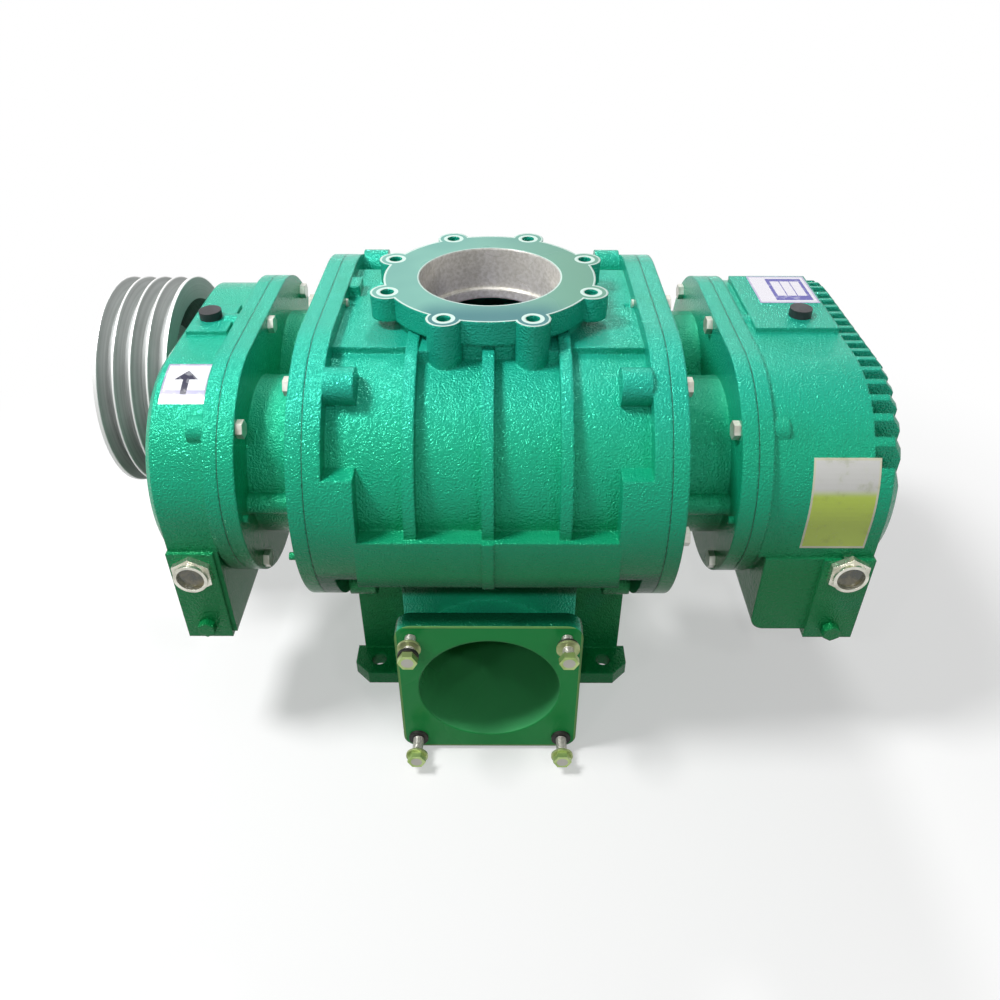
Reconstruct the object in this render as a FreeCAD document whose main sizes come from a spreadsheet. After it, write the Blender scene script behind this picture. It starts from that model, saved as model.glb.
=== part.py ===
import FreeCAD, Part
import math
import os
import re

import Sketcher
from FreeCAD import Placement, Rotation, Vector

# Three-lobe roots vacuum pump.
# X runs along the rotors towards the gear end, Y towards the back, Z up.
# The origin is the middle of the foot bolts, on the underside of the feet.

SIZES = {
    # Rotors and the chamber they turn in
    "pitch_radius": 80,
    "tip_radius": 115,
    "flank_clearance": 0.15,
    "tip_clearance": 0.25,
    "end_clearance": 0.3,
    "lobe_count": 3,
    # Casing barrel
    "axis_height": 314,
    "casing_length": 344,
    "casing_wall": 17.75,
    "flange_rim": 20,
    "flange_thickness": 17,
    "rib_height": 14,
    "rib_width": 12,
    "rib_spacing": 75,
    "plateau_height": 6,
    "plateau_half_width": 97,
    "bridge_start": 22,
    "bridge_end": 48,
    "bridge_length": 12,
    "bridge_height": 18,
    "gasket_thickness": 0.5,
    # Inlet on top of the casing
    "inlet_height": 174,
    "inlet_bore": 75,
    "inlet_bore_depth": 48,
    "inlet_port": 72,
    "inlet_disc": 112,
    "inlet_neck": 106,
    "inlet_flange_thickness": 25,
    "inlet_bolt_circle": 112.5,
    "inlet_lobe": 17.5,
    "inlet_tapping": 7,
    "inlet_tapping_depth": 20,
    "gusset_height": 10,
    "gusset_front": 8,
    "gusset_back": 39,
    # Outlet at the front of the pedestal
    "outlet_drop": 210,
    "outlet_bore": 77.5,
    "outlet_reach": 235,
    "outlet_flange_width": 198,
    "outlet_flange_thickness": 20,
    "outlet_corner": 18,
    "outlet_neck": 88,
    "outlet_bolt_square": 164,
    "outlet_port_length": 220,
    "outlet_port_width": 90,
    # Shoulder block between the barrel and the outlet
    "block_reach": 233,
    "block_half_length": 130,
    "block_depth": 57,
    "block_rib_rise": 2.5,
    "block_rib_drop": 100,
    "trunk_reach": 185,
    "trunk_half_length": 94,
    "boss_band_end": 126,
    "boss_band_top": 64,
    # Pedestal and feet
    "pedestal_half_length": 162,
    "pedestal_half_width": 95,
    "pedestal_wall": 14,
    "foot_thickness": 18,
    "foot_half_length": 171,
    "foot_half_width": 138,
    "foot_ear_start": 92,
    "foot_chamfer": 18,
    "foot_bolt_length": 284,
    "foot_bolt_width": 230,
    "foot_bolt_hole": 9,
    # End plates with their bearing barrels
    "plate_thickness": 15.5,
    "plate_bolt_inset": 12,
    "plate_bolt_angle": 61.5,
    "neck_length": 55,
    "neck_radius": 86,
    "neck_rib_radius": 11,
    "neck_rib_rise": 4,
    "housing_radius": 128,
    "housing_flange_thickness": 16,
    "cover_bolt_inset": 12,
    "cover_bolt_angle": 46,
    "upper_boss_radius": 18.5,
    # Covers
    "cover_flange_thickness": 14.5,
    "cover_wall": 12,
    "bolt_land": 4,
    "cover_boss_radius": 15,
    "cover_boss_length": 16,
    "cover_boss_inset": 1,
    "pulley_end_cover_corner": 6,
    "pulley_end_cover_radius": 119,
    "pulley_end_cover_length": 59,
    "gear_end_cover_radius": 123,
    "gear_end_cover_length": 98,
    "fin_length": 28,
    "fin_thickness": 6,
    "fin_count": 23,
    "fin_corner": 9,
    "fin_inset": 9,
    # Oil sumps and their fittings
    "pulley_end_sump_reach": 203,
    "pulley_end_sump_top": -41,
    "pulley_end_sump_bottom": -160,
    "pulley_end_sump_back": 100,
    "pulley_end_sump_start": 21,
    "pulley_end_sump_length": 48,
    "pulley_end_sump_step": 4,
    "gear_end_sump_reach": 205,
    "gear_end_sump_top": -43,
    "gear_end_sump_bottom": -144,
    "gear_end_sump_back": 100,
    "gear_end_sump_start": 22,
    "gear_end_sump_length": 111,
    "gear_end_pad_bottom": -154,
    "gear_end_pad_length": 52,
    "gear_end_pad_proud": 3,
    "gear_end_sump_corner": 15,
    "sump_wall": 10,
    "pulley_end_glass_height": 65,
    "gear_end_glass_height": 58,
    "pulley_end_drain_height": 142,
    "gear_end_drain_height": 140.5,
    "glass_flats": 38,
    "glass_collar": 7,
    "glass_ring": 17.5,
    "glass_ring_height": 5,
    "glass_thread": 16,
    "glass_depth": 8,
    "lens_radius": 14,
    "lens_thickness": 4,
    "drain_flats": 17,
    "drain_head": 9,
    "drain_thread": 8,
    "pulley_end_top_pad_start": 20.5,
    "pulley_end_top_pad_length": 43.5,
    "pulley_end_top_pad_front": 33,
    "pulley_end_top_pad_back": 33,
    "pulley_end_plug_place": 45.5,
    "gear_end_top_pad_start": 23.5,
    "gear_end_top_pad_length": 89,
    "gear_end_top_pad_front": 31,
    "gear_end_top_pad_back": 106,
    "gear_end_plug_place": 78.5,
    "filler_pad_height": 5,
    "filler_plug_radius": 12,
    "filler_plug_height": 9,
    "filler_thread": 8,
    # Bearings and shaft steps
    "seal_land": 34,
    "bearing_width": 29,
    "bearing_bore": 27.5,
    "bearing_outside": 60,
    "inner_race": 35.5,
    "outer_race": 51.5,
    "roller_count": 10,
    "roller_gap": 0.05,
    "circlip_width": 4,
    "circlip_groove": 3,
    "circlip_ring": 7,
    "rotor_bore": 30,
    "sleeve_radius": 41,
    "sleeve_clearance": 0.25,
    "gear_seat": 25,
    "pulley_seat": 22.5,
    "slinger_radius": 74,
    "slinger_offset": 9,
    "slinger_disc": 3,
    "hub_radius": 34,
    "nut_radius": 34,
    "nut_width": 12,
    "thread_radius": 23.5,
    # Timing gears
    "tooth_count": 40,
    "gear_width": 40,
    "gear_offset": 8,
    "pressure_angle": 20,
    "backlash": 0.3,
    "key_width": 12,
    "key_depth": 5,
    "key_rise": 3.3,
    # Drive shaft seal
    "oil_seal_radius": 36,
    "oil_seal_width": 10,
    "seal_lip_height": 5,
    "retainer_radius": 50,
    "retainer_thickness": 8,
    "retainer_bolt_circle": 43,
    "retainer_bolt_count": 4,
    # Pulley
    "pulley_radius": 126,
    "pulley_width": 82,
    "pulley_gap": 26,
    "groove_pitch": 19,
    "groove_count": 4,
    "groove_mouth": 17,
    "groove_root": 6,
    "groove_depth": 16,
    "rim_wall": 10,
    "web_thickness": 16,
    "bush_length": 51,
    "bush_large": 54,
    "bush_small": 49,
    "pulley_hub": 68,
    "shaft_end_recess": 5,
    "pulley_key_length": 50,
    # Fasteners
    "bolt_radius": 5,
    "bolt_flats": 16.5,
    "bolt_head": 6.5,
    "bolt_clearance": 0.5,
    "plate_bolt_grip": 19,
    "cover_bolt_grip": 13,
    "retainer_bolt_radius": 3,
    "retainer_bolt_flats": 10,
    "retainer_bolt_head": 4,
    "outlet_bolt_radius": 6,
    "outlet_bolt_flats": 18,
    "outlet_bolt_head": 7.5,
    "outlet_bolt_standing": 27,
    "outlet_washer_radius": 12.3,
    "outlet_washer_thickness": 2.5,
    "spring_washer_radius": 11,
    "spring_washer_thickness": 3.5,
    "dowel_radius": 4,
    "pulley_end_dowel_angle": 12,
    "gear_end_dowel_angle": 28,
    "plate_dowel_standing": 9,
    "cover_dowel_standing": 5,
}

# Places worked out from the sizes, as expressions
CASING_RADIUS = "(tip_radius + tip_clearance + casing_wall)"
CHAMBER_RADIUS = "(tip_radius + tip_clearance)"
FLANGE_RADIUS = f"({CASING_RADIUS} + flange_rim)"
CASING_END = "(casing_length / 2)"
PLATE_INNER = f"({CASING_END} + gasket_thickness)"
PLATE_OUTER = f"({PLATE_INNER} + plate_thickness)"
NECK_END = f"({PLATE_OUTER} + neck_length)"
HOUSING_FACE = f"({NECK_END} + housing_flange_thickness)"
COVER_FACE = f"({HOUSING_FACE} + gasket_thickness)"
COVER_RIM = f"({COVER_FACE} + cover_flange_thickness)"
PULLEY_COVER_END = f"({COVER_RIM} + pulley_end_cover_length)"
GEAR_COVER_END = f"({COVER_RIM} + gear_end_cover_length)"
PLATE_BOLT_RADIUS = f"({FLANGE_RADIUS} - plate_bolt_inset)"
COVER_BOLT_RADIUS = "(housing_radius - cover_bolt_inset)"
CAVITY_RADIUS = f"({COVER_BOLT_RADIUS} - bolt_radius - bolt_land)"
ROTOR_END = f"({PLATE_INNER} - end_clearance)"
BEARING_INNER = f"({PLATE_INNER} + seal_land)"
BEARING_OUTER = f"({BEARING_INNER} + bearing_width)"
GEAR_START = f"({COVER_FACE} + gear_offset)"
GEAR_END = f"({GEAR_START} + gear_width)"
SLINGER_START = f"({COVER_FACE} + slinger_offset)"
SLINGER_END = f"({SLINGER_START} + slinger_disc)"
PULLEY_INNER = f"({PULLEY_COVER_END} + pulley_gap)"
PULLEY_OUTER = f"({PULLEY_INNER} + pulley_width)"

doc = FreeCAD.newDocument("roots_vacuum_pump")
sheet = doc.addObject("Spreadsheet::Sheet", "sizes")
for row, (alias, number) in enumerate(SIZES.items(), start=1):
    sheet.set(f"A{row}", str(number))
    sheet.setAlias(f"A{row}", alias)
doc.recompute()

WORD = re.compile(r"[a-z]+(?:_[a-z]+)+")
PARTS = []
EDGE_REACH = 0.01
VALLEY_ARCS = 8


def bound(text):
    """The expression with each size's name pointing at the sheet."""
    return WORD.sub(lambda word: "sizes." + word.group(), text)


def value(text):
    """The expression's value in the current sheet."""
    return float(sheet.evalExpression(text))


def span(side, near, far):
    """The stretch along X between two distances from the middle, low end first."""
    if side > 0:
        return near, far
    return f"-({far})", f"-({near})"


# Sketch shapes, each point and radius tied to an expression

def tie(sketch, kind, name, expression, *where):
    index = sketch.addConstraint(Sketcher.Constraint(kind, *where, value(expression)))
    sketch.renameConstraint(index, name)
    sketch.setExpression(f"Constraints.{name}", bound(expression))


def tie_point(sketch, name, geometry, position, across, up):
    tie(sketch, "DistanceX", name + "_across", across, -1, 1, geometry, position)
    tie(sketch, "DistanceY", name + "_up", up, -1, 1, geometry, position)


def circle(sketch, across, up, radius):
    centre = Vector(value(across), value(up), 0)
    index = sketch.addGeometry(Part.Circle(centre, Vector(0, 0, 1), value(radius)))
    tie_point(sketch, f"centre_{index}", index, 3, across, up)
    tie(sketch, "Radius", f"radius_{index}", radius, index)


def polygon(sketch, corners):
    first = sketch.GeometryCount
    spots = [Vector(value(across), value(up), 0) for across, up in corners]
    count = len(corners)
    for step in range(count):
        sketch.addGeometry(Part.LineSegment(spots[step], spots[(step + 1) % count]))
    for step in range(count):
        following = first + (step + 1) % count
        sketch.addConstraint(Sketcher.Constraint("Coincident", first + step, 2, following, 1))
    for step, (across, up) in enumerate(corners):
        tie_point(sketch, f"corner_{first + step}", first + step, 1, across, up)


def rectangle(sketch, left, right, low, high):
    polygon(sketch, [(left, low), (right, low), (right, high), (left, high)])


def hexagon(sketch, across, up, flats):
    half = f"({flats}) / 2"
    side = f"({flats}) / 2 * tan(30)"
    point = f"({flats}) / 2 / cos(30)"
    polygon(sketch, [
        (f"{across} + {half}", f"{up} - {side}"), (f"{across} + {half}", f"{up} + {side}"),
        (across, f"{up} + {point}"), (f"{across} - {half}", f"{up} + {side}"),
        (f"{across} - {half}", f"{up} - {side}"), (across, f"{up} - {point}"),
    ])


def obround(sketch, half_spacing, radius):
    """Two half circles about the rotor axes, joined by straight lines."""
    half, reach = value(half_spacing), value(radius)
    quarter = math.pi / 2
    right = Part.ArcOfCircle(Part.Circle(Vector(half, 0, 0), Vector(0, 0, 1), reach), -quarter, quarter)
    left = Part.ArcOfCircle(Part.Circle(Vector(-half, 0, 0), Vector(0, 0, 1), reach), quarter, 3 * quarter)
    first = sketch.addGeometry(right)
    top = sketch.addGeometry(Part.LineSegment(Vector(half, reach, 0), Vector(-half, reach, 0)))
    second = sketch.addGeometry(left)
    bottom = sketch.addGeometry(Part.LineSegment(Vector(-half, -reach, 0), Vector(half, -reach, 0)))
    for one, other in ((first, top), (top, second), (second, bottom), (bottom, first)):
        sketch.addConstraint(Sketcher.Constraint("Tangent", one, 2, other, 1))
    tie_point(sketch, f"centre_{first}", first, 3, half_spacing, "0")
    tie_point(sketch, f"centre_{second}", second, 3, f"-({half_spacing})", "0")
    tie(sketch, "Radius", f"radius_{first}", radius, first)


def rounded_square(sketch, across, up, half, corner):
    """A square with round corners, about a middle."""
    inset, reach = value(f"{half} - {corner}"), value(corner)
    middle = Vector(value(across), value(up), 0)
    arcs, sides = [], []
    for quarter, (right, top) in enumerate(((1, 1), (-1, 1), (-1, -1), (1, -1))):
        centre = middle + Vector(right * inset, top * inset, 0)
        start = quarter * math.pi / 2
        rim = Part.ArcOfCircle(Part.Circle(centre, Vector(0, 0, 1), reach), start, start + math.pi / 2)
        arcs.append(sketch.addGeometry(rim))
        tie_point(sketch, f"centre_{arcs[-1]}", arcs[-1], 3, f"{across} + {right} * ({half} - {corner})",
                  f"{up} + {top} * ({half} - {corner})")
    for quarter in range(4):
        start, end = sketch.Geometry[arcs[quarter]], sketch.Geometry[arcs[(quarter + 1) % 4]]
        sides.append(sketch.addGeometry(Part.LineSegment(start.EndPoint, end.StartPoint)))
    for quarter in range(4):
        sketch.addConstraint(Sketcher.Constraint("Tangent", arcs[quarter], 2, sides[quarter], 1))
        sketch.addConstraint(Sketcher.Constraint("Tangent", sides[quarter], 2, arcs[(quarter + 1) % 4], 1))
    tie(sketch, "Radius", "corner_radius", corner, arcs[0])


def shoulder(sketch, side, radius, low, high, inner):
    """The strip between a rotor axis's outer circle and an upright line, cut level below and above."""
    centre = f"{side} * pitch_radius"
    reach, bottom, top = value(radius), value(low), value(high)
    start, end = math.asin(bottom / reach), math.asin(top / reach)
    if side < 0:
        start, end = math.pi - end, math.pi - start
    rim = sketch.addGeometry(Part.ArcOfCircle(
        Part.Circle(Vector(value(centre), 0, 0), Vector(0, 0, 1), reach), start, end))
    arc = sketch.Geometry[rim]
    across = value(inner)
    corners = [arc.EndPoint, Vector(across, arc.EndPoint.y, 0), Vector(across, arc.StartPoint.y, 0)]
    first = sketch.addGeometry(Part.LineSegment(corners[0], corners[1]))
    second = sketch.addGeometry(Part.LineSegment(corners[1], corners[2]))
    third = sketch.addGeometry(Part.LineSegment(corners[2], arc.StartPoint))
    for one, other in ((rim, first), (first, second), (second, third), (third, rim)):
        sketch.addConstraint(Sketcher.Constraint("Coincident", one, 2, other, 1))
    tie_point(sketch, f"centre_{rim}", rim, 3, centre, "0")
    tie(sketch, "Radius", f"radius_{rim}", radius, rim)
    heights = (high, low) if side > 0 else (low, high)
    tie(sketch, "DistanceY", "first_level", heights[0], -1, 1, first, 1)
    tie(sketch, "DistanceY", "second_level", heights[1], -1, 1, third, 2)
    tie_point(sketch, "first_inner", second, 1, inner, heights[0])
    tie_point(sketch, "second_inner", second, 2, inner, heights[1])


# Bodies and features

def new_body(label, across="0", back="0", up="axis_height"):
    body = doc.addObject("PartDesign::Body", label)
    body.Label = label
    for axis, expression in (("x", across), ("y", back), ("z", up)):
        body.setExpression(f"Placement.Base.{axis}", bound(expression))
    PARTS.append(body)
    return body


def new_sketch(body, plane, offset, draw, *figures):
    sketch = body.newObject("Sketcher::SketchObject", body.Label + "_sketch")
    origin_plane = next(item for item in body.Origin.OriginFeatures if item.Role == plane)
    sketch.AttachmentSupport = (origin_plane, [""])
    sketch.MapMode = "FlatFace"
    sketch.setExpression("AttachmentOffset.Base.z", bound(offset))
    draw(sketch, *figures)
    return sketch


def pad(body, plane, low, high, draw, *figures):
    """Material between two distances along the plane's normal."""
    sketch = new_sketch(body, plane, low, draw, *figures)
    feature = body.newObject("PartDesign::Pad", body.Label + "_pad")
    feature.Profile = sketch
    feature.Refine = False
    feature.setExpression("Length", bound(f"({high}) - ({low})"))
    return feature


def pocket(body, plane, low, high, draw, *figures):
    """A cut between two distances along the plane's normal."""
    sketch = new_sketch(body, plane, high, draw, *figures)
    feature = body.newObject("PartDesign::Pocket", body.Label + "_pocket")
    feature.Profile = sketch
    feature.Refine = False
    feature.setExpression("Length", bound(f"({high}) - ({low})"))
    return feature


def revolve(body, corners):
    """A closed outline of places along X and radii, turned about the X axis."""
    sketch = new_sketch(body, "XY_Plane", "0", polygon, corners)
    feature = body.newObject("PartDesign::Revolution", body.Label + "_revolution")
    feature.Profile = sketch
    feature.ReferenceAxis = (sketch, ["H_Axis"])
    feature.Angle = 360
    return feature


def polar(body, feature, axis_role, count):
    """Copies of a feature about one of the body's own axes."""
    pattern = body.newObject("PartDesign::PolarPattern", body.Label + "_polar")
    pattern.Originals = [feature]
    pattern.Refine = False
    pattern.Axis = (next(item for item in body.Origin.OriginFeatures if item.Role == axis_role), [""])
    pattern.Angle = 360
    if isinstance(count, str):
        pattern.setExpression("Occurrences", bound(count))
    else:
        pattern.Occurrences = count
    body.Tip = pattern
    return pattern


def dress_edges(body, kind, size, amount, wanted):
    """A chamfer or a rounding on the edges of the body's tip that the test picks."""
    doc.recompute()
    tip = body.Tip
    names = [f"Edge{index}" for index, edge in enumerate(tip.Shape.Edges, start=1) if wanted(edge)]
    feature = body.newObject("PartDesign::" + kind, f"{body.Label}_{kind.lower()}")
    feature.Base = (tip, names)
    feature.setExpression(size, bound(amount))


def bevel_edges(body, width, wanted):
    dress_edges(body, "Chamfer", "Size", width, wanted)


def round_edges(body, radius, wanted):
    dress_edges(body, "Fillet", "Radius", radius, wanted)


def discs(sketch, places, radius):
    for across, up in places:
        circle(sketch, across, up, radius)


def solid(label, shape, across="0", back="0", up="0"):
    """A sub-part, or a group of like sub-parts, whose shape is worked out below."""
    feature = doc.addObject("Part::Feature", label)
    feature.Label = label
    feature.Shape = shape
    feature.Placement = Placement(Vector(value(across), value(back), value(up)), Rotation())
    PARTS.append(feature)
    return feature


# Places of the bolts, as pairs across and up from the middle of the rotor axes

def around(radius, angle):
    """The four places at an angle above and below the axes, front and back."""
    across = f"(pitch_radius + {radius} * cos({angle}))"
    up = f"({radius} * sin({angle}))"
    return [(f"{sign} * {across}", f"{level} * {up}") for sign in (-1, 1) for level in (-1, 1)]


def plate_bolt_places(end):
    """All round the flange. At the pulley end a dowel takes the front side's place."""
    rims = (1,) if end < 0 else (-1, 1)
    sides = [(f"{sign} * (pitch_radius + {PLATE_BOLT_RADIUS})", "0") for sign in rims]
    ends = [("0", f"{level} * {PLATE_BOLT_RADIUS}") for level in (-1, 1)]
    return around(PLATE_BOLT_RADIUS, "plate_bolt_angle") + sides + ends


def cover_bolt_places():
    ends = [("0", f"{level} * {COVER_BOLT_RADIUS}") for level in (-1, 1)]
    return around(COVER_BOLT_RADIUS, "cover_bolt_angle") + ends


def cover_boss_places():
    """Bosses for the cover's bolts, within the cover's rim."""
    reach = "(housing_radius - cover_boss_radius - cover_boss_inset)"
    return around(reach, "cover_bolt_angle") + [("0", f"{level} * {reach}") for level in (-1, 1)]


def plate_dowel_places(end):
    """Two opposite corners: low at the front of the pulley end, high at the front of the gear end."""
    angle, picked = ("pulley_end_dowel_angle", (0, 3)) if end < 0 else ("gear_end_dowel_angle", (1, 2))
    corners = around(PLATE_BOLT_RADIUS, angle)
    return [corners[index] for index in picked]


def cover_dowel_places():
    return [(f"{sign} * (pitch_radius + {COVER_BOLT_RADIUS})", "0") for sign in (-1, 1)]


def outlet_bolt_places():
    half = "outlet_bolt_square / 2"
    return [(f"{sign} * {half}", f"-outlet_drop + {level} * {half}") for sign in (-1, 1) for level in (-1, 1)]


AXES = [("-pitch_radius", "0"), ("pitch_radius", "0")]


# Casing: barrel, flanges, ribs, inlet, outlet, pedestal and feet in one casting

def make_casing():
    body = new_body("casing")
    foot_top = "(foot_thickness - axis_height)"
    half = "pitch_radius"
    pad(body, "YZ_Plane", f"-{CASING_END}", CASING_END, obround, half, CASING_RADIUS)
    for side in (-1, 1):
        low, high = span(side, f"({CASING_END} - flange_thickness)", CASING_END)
        pad(body, "YZ_Plane", low, high, obround, half, FLANGE_RADIUS)
    for place in ("-rib_spacing", "0", "rib_spacing"):
        pad(body, "YZ_Plane", f"({place} - rib_width / 2)", f"({place} + rib_width / 2)",
            obround, half, f"({CASING_RADIUS} + rib_height)")
    make_top(body)
    make_bolt_bosses(body)
    make_pedestal(body, foot_top)
    make_inlet(body)
    for across, up in AXES:
        pocket(body, "YZ_Plane", f"-{CASING_END}", CASING_END, circle, across, up, CHAMBER_RADIUS)
    bore_end = "(inlet_height - inlet_bore_depth)"
    pocket(body, "XY_Plane", bore_end, "inlet_height", circle, "0", "0", "inlet_bore")
    pocket(body, "XY_Plane", "0", bore_end, circle, "0", "0", "inlet_port")
    pocket(body, "XZ_Plane", "-pedestal_half_width + pedestal_wall", "outlet_reach", circle,
           "0", "-outlet_drop", "outlet_bore")
    pocket(body, "XY_Plane", "-outlet_drop", "0", rectangle, "-outlet_port_length / 2",
           "outlet_port_length / 2", "-outlet_port_width / 2", "outlet_port_width / 2")
    for side in (-1, 1):
        low, high = span(side, f"({CASING_END} - flange_thickness - plate_bolt_grip / 2)", CASING_END)
        pocket(body, "YZ_Plane", low, high, discs, plate_bolt_places(side), "bolt_radius")
        low, high = span(side, f"({CASING_END} - plate_thickness)", CASING_END)
        pocket(body, "YZ_Plane", low, high, discs, plate_dowel_places(side), "dowel_radius")


def make_top(body):
    """Flat top either side of the inlet, and the bridge from it to the pulley end's flange."""
    inside = f"{CASING_RADIUS} * cos(30)"
    flange_face = f"({CASING_END} - flange_thickness)"
    pad(body, "XY_Plane", inside, f"({CASING_RADIUS} + plateau_height)", rectangle,
        f"-{flange_face}", flange_face, "-plateau_half_width", "plateau_half_width")
    pad(body, "XY_Plane", inside, f"({CASING_RADIUS} + bridge_height)", rectangle,
        f"-{flange_face}", f"-{flange_face} + bridge_length", "bridge_start", "bridge_end")


def make_bolt_bosses(body):
    """Round bosses behind the flanges at the upper and lower bolts, and the front and back shoulders."""
    for side in (-1, 1):
        low, high = span(side, "boss_band_end", f"({CASING_END} - flange_thickness)")
        pad(body, "YZ_Plane", low, high, discs, around(PLATE_BOLT_RADIUS, "plate_bolt_angle"),
            "upper_boss_radius")
        for face in (-1, 1):
            pad(body, "YZ_Plane", low, high, shoulder, face, FLANGE_RADIUS,
                "-block_depth", "boss_band_top", f"{face} * pitch_radius")


def make_pedestal(body, foot_top):
    """Shoulder block with its rib, outlet trunk and flange, hollow pedestal and the two feet."""
    pad(body, "XZ_Plane", "pitch_radius", "block_reach", rectangle,
        "-block_half_length", "block_half_length", "-block_depth", "0")
    rib_front = "-(block_reach + block_rib_rise)"
    pad(body, "YZ_Plane", "-rib_width / 2", "rib_width / 2", polygon, [
        ("-pitch_radius", "-block_rib_drop"), ("-trunk_reach", "-block_rib_drop"),
        (rib_front, "-block_depth"), (rib_front, "0"), ("-pitch_radius", "0")])
    pad(body, "XZ_Plane", "0", "trunk_reach", rectangle,
        "-trunk_half_length", "trunk_half_length", "-outlet_drop", "-block_depth")
    pad(body, "XZ_Plane", "0", "(outlet_reach - outlet_flange_thickness)", circle,
        "0", "-outlet_drop", "outlet_neck")
    pad(body, "XY_Plane", foot_top, f"-{CASING_RADIUS} * cos(45)", rectangle,
        "-pedestal_half_length", "pedestal_half_length", "-pedestal_half_width", "pedestal_half_width")
    pad(body, "XZ_Plane", "(outlet_reach - outlet_flange_thickness)", "outlet_reach", rounded_square,
        "0", "-outlet_drop", "outlet_flange_width / 2", "outlet_corner")
    pocket(body, "XZ_Plane", "(outlet_reach - outlet_flange_thickness)", "outlet_reach", discs,
           outlet_bolt_places(), "outlet_bolt_radius")
    for side in (-1, 1):
        near, far = span(side, "foot_ear_start", "foot_half_width")
        edge, inner = (near, far) if side < 0 else (far, near)
        cut = f"{edge} + foot_chamfer" if side < 0 else f"{edge} - foot_chamfer"
        pad(body, "XY_Plane", "-axis_height", foot_top, polygon, [
            ("-foot_half_length", inner), ("foot_half_length", inner), ("foot_half_length", cut),
            ("foot_half_length - foot_chamfer", edge), ("-foot_half_length + foot_chamfer", edge),
            ("-foot_half_length", cut)])
    pad(body, "XY_Plane", "-axis_height", foot_top, rectangle,
        "-pedestal_half_length", "pedestal_half_length", "-foot_ear_start", "foot_ear_start")
    foot_places = [(f"{sign} * foot_bolt_length / 2", f"{level} * foot_bolt_width / 2")
                   for sign in (-1, 1) for level in (-1, 1)]
    pocket(body, "XY_Plane", "-axis_height", foot_top, discs, foot_places, "foot_bolt_hole")
    for side in (-1, 1):
        near, far = span(side, "(trunk_half_length + pedestal_wall / 2)",
                         "(pedestal_half_length - pedestal_wall)")
        pocket(body, "XY_Plane", "-axis_height", f"-{FLANGE_RADIUS}", rectangle, near, far,
               "-pedestal_half_width + pedestal_wall", "pedestal_half_width - pedestal_wall")


def make_inlet(body):
    """Round inlet flange with a lobe round each tapped hole. The front and back lobes run down as columns,
    and webs join them to the side ribs."""
    under = "(inlet_height - inlet_flange_thickness)"
    pad(body, "XY_Plane", "0", under, circle, "0", "0", "inlet_neck")
    pad(body, "XY_Plane", under, "inlet_height", circle, "0", "0", "inlet_disc")
    near, far = "(inlet_bolt_circle * sin(22.5))", "(inlet_bolt_circle * cos(22.5))"
    columns = [(f"{sign} * {near}", f"{level} * {far}") for sign in (-1, 1) for level in (-1, 1)]
    sides = [(up, across) for across, up in columns]
    pad(body, "XY_Plane", under, "inlet_height", discs, sides, "inlet_lobe")
    inside = f"{CASING_RADIUS} * cos(30)"
    pad(body, "XY_Plane", inside, "inlet_height", discs, columns, "inlet_lobe")
    for side in (-1, 1):
        left, right = span(side, near, "rib_spacing")
        for face in (-1, 1):
            low, high = span(face, f"({far} - gusset_back)", f"({far} + gusset_front)")
            pad(body, "XY_Plane", inside, f"({CASING_RADIUS} + gusset_height)", rectangle,
                left, right, low, high)
    pocket(body, "XY_Plane", "(inlet_height - inlet_tapping_depth)", "inlet_height", discs,
           columns + sides, "inlet_tapping")


# End plates: plate, two bearing barrels and the flange for the cover in one casting

def make_end_plate(label, side):
    body = new_body(label)
    low, high = span(side, PLATE_INNER, PLATE_OUTER)
    pad(body, "YZ_Plane", low, high, obround, "pitch_radius", FLANGE_RADIUS)
    low, high = span(side, PLATE_OUTER, NECK_END)
    for across, up in AXES:
        pad(body, "YZ_Plane", low, high, circle, across, up, "neck_radius")
    for sign in (-1, 1):
        across = f"{sign} * (pitch_radius + neck_radius + neck_rib_rise)"
        pad(body, "YZ_Plane", low, high, circle, across, "0", "neck_rib_radius")
    low, high = span(side, NECK_END, HOUSING_FACE)
    pad(body, "YZ_Plane", low, high, obround, "pitch_radius", "housing_radius")
    for across, up in AXES:
        low, high = span(side, PLATE_INNER, HOUSING_FACE)
        pocket(body, "YZ_Plane", low, high, circle, across, up, "(sleeve_radius + sleeve_clearance)")
        low, high = span(side, BEARING_INNER, HOUSING_FACE)
        pocket(body, "YZ_Plane", low, high, circle, across, up, "bearing_outside")
        low, high = span(side, BEARING_OUTER, f"({BEARING_OUTER} + circlip_width)")
        pocket(body, "YZ_Plane", low, high, circle, across, up, "(bearing_outside + circlip_groove)")
    low, high = span(side, PLATE_INNER, PLATE_OUTER)
    pocket(body, "YZ_Plane", low, high, discs, plate_bolt_places(side), "(bolt_radius + bolt_clearance)")
    pocket(body, "YZ_Plane", low, high, discs, plate_dowel_places(side), "dowel_radius")
    low, high = span(side, NECK_END, HOUSING_FACE)
    pocket(body, "YZ_Plane", low, high, discs, cover_bolt_places(), "(bolt_radius + bolt_clearance)")
    pocket(body, "YZ_Plane", low, high, discs, cover_dowel_places(), "dowel_radius")


# Gaskets between the castings

def make_gasket(label, side, near, far, radius, places, dowels):
    body = new_body(label)
    low, high = span(side, near, far)
    pad(body, "YZ_Plane", low, high, obround, "pitch_radius", radius)
    pocket(body, "YZ_Plane", low, high, obround, "pitch_radius", f"({radius} - 2 * plate_bolt_inset)")
    pocket(body, "YZ_Plane", low, high, discs, places, "(bolt_radius + bolt_clearance)")
    pocket(body, "YZ_Plane", low, high, discs, dowels, "dowel_radius")


# Covers: oil box at the drive end, finned gear box at the gear end

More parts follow.
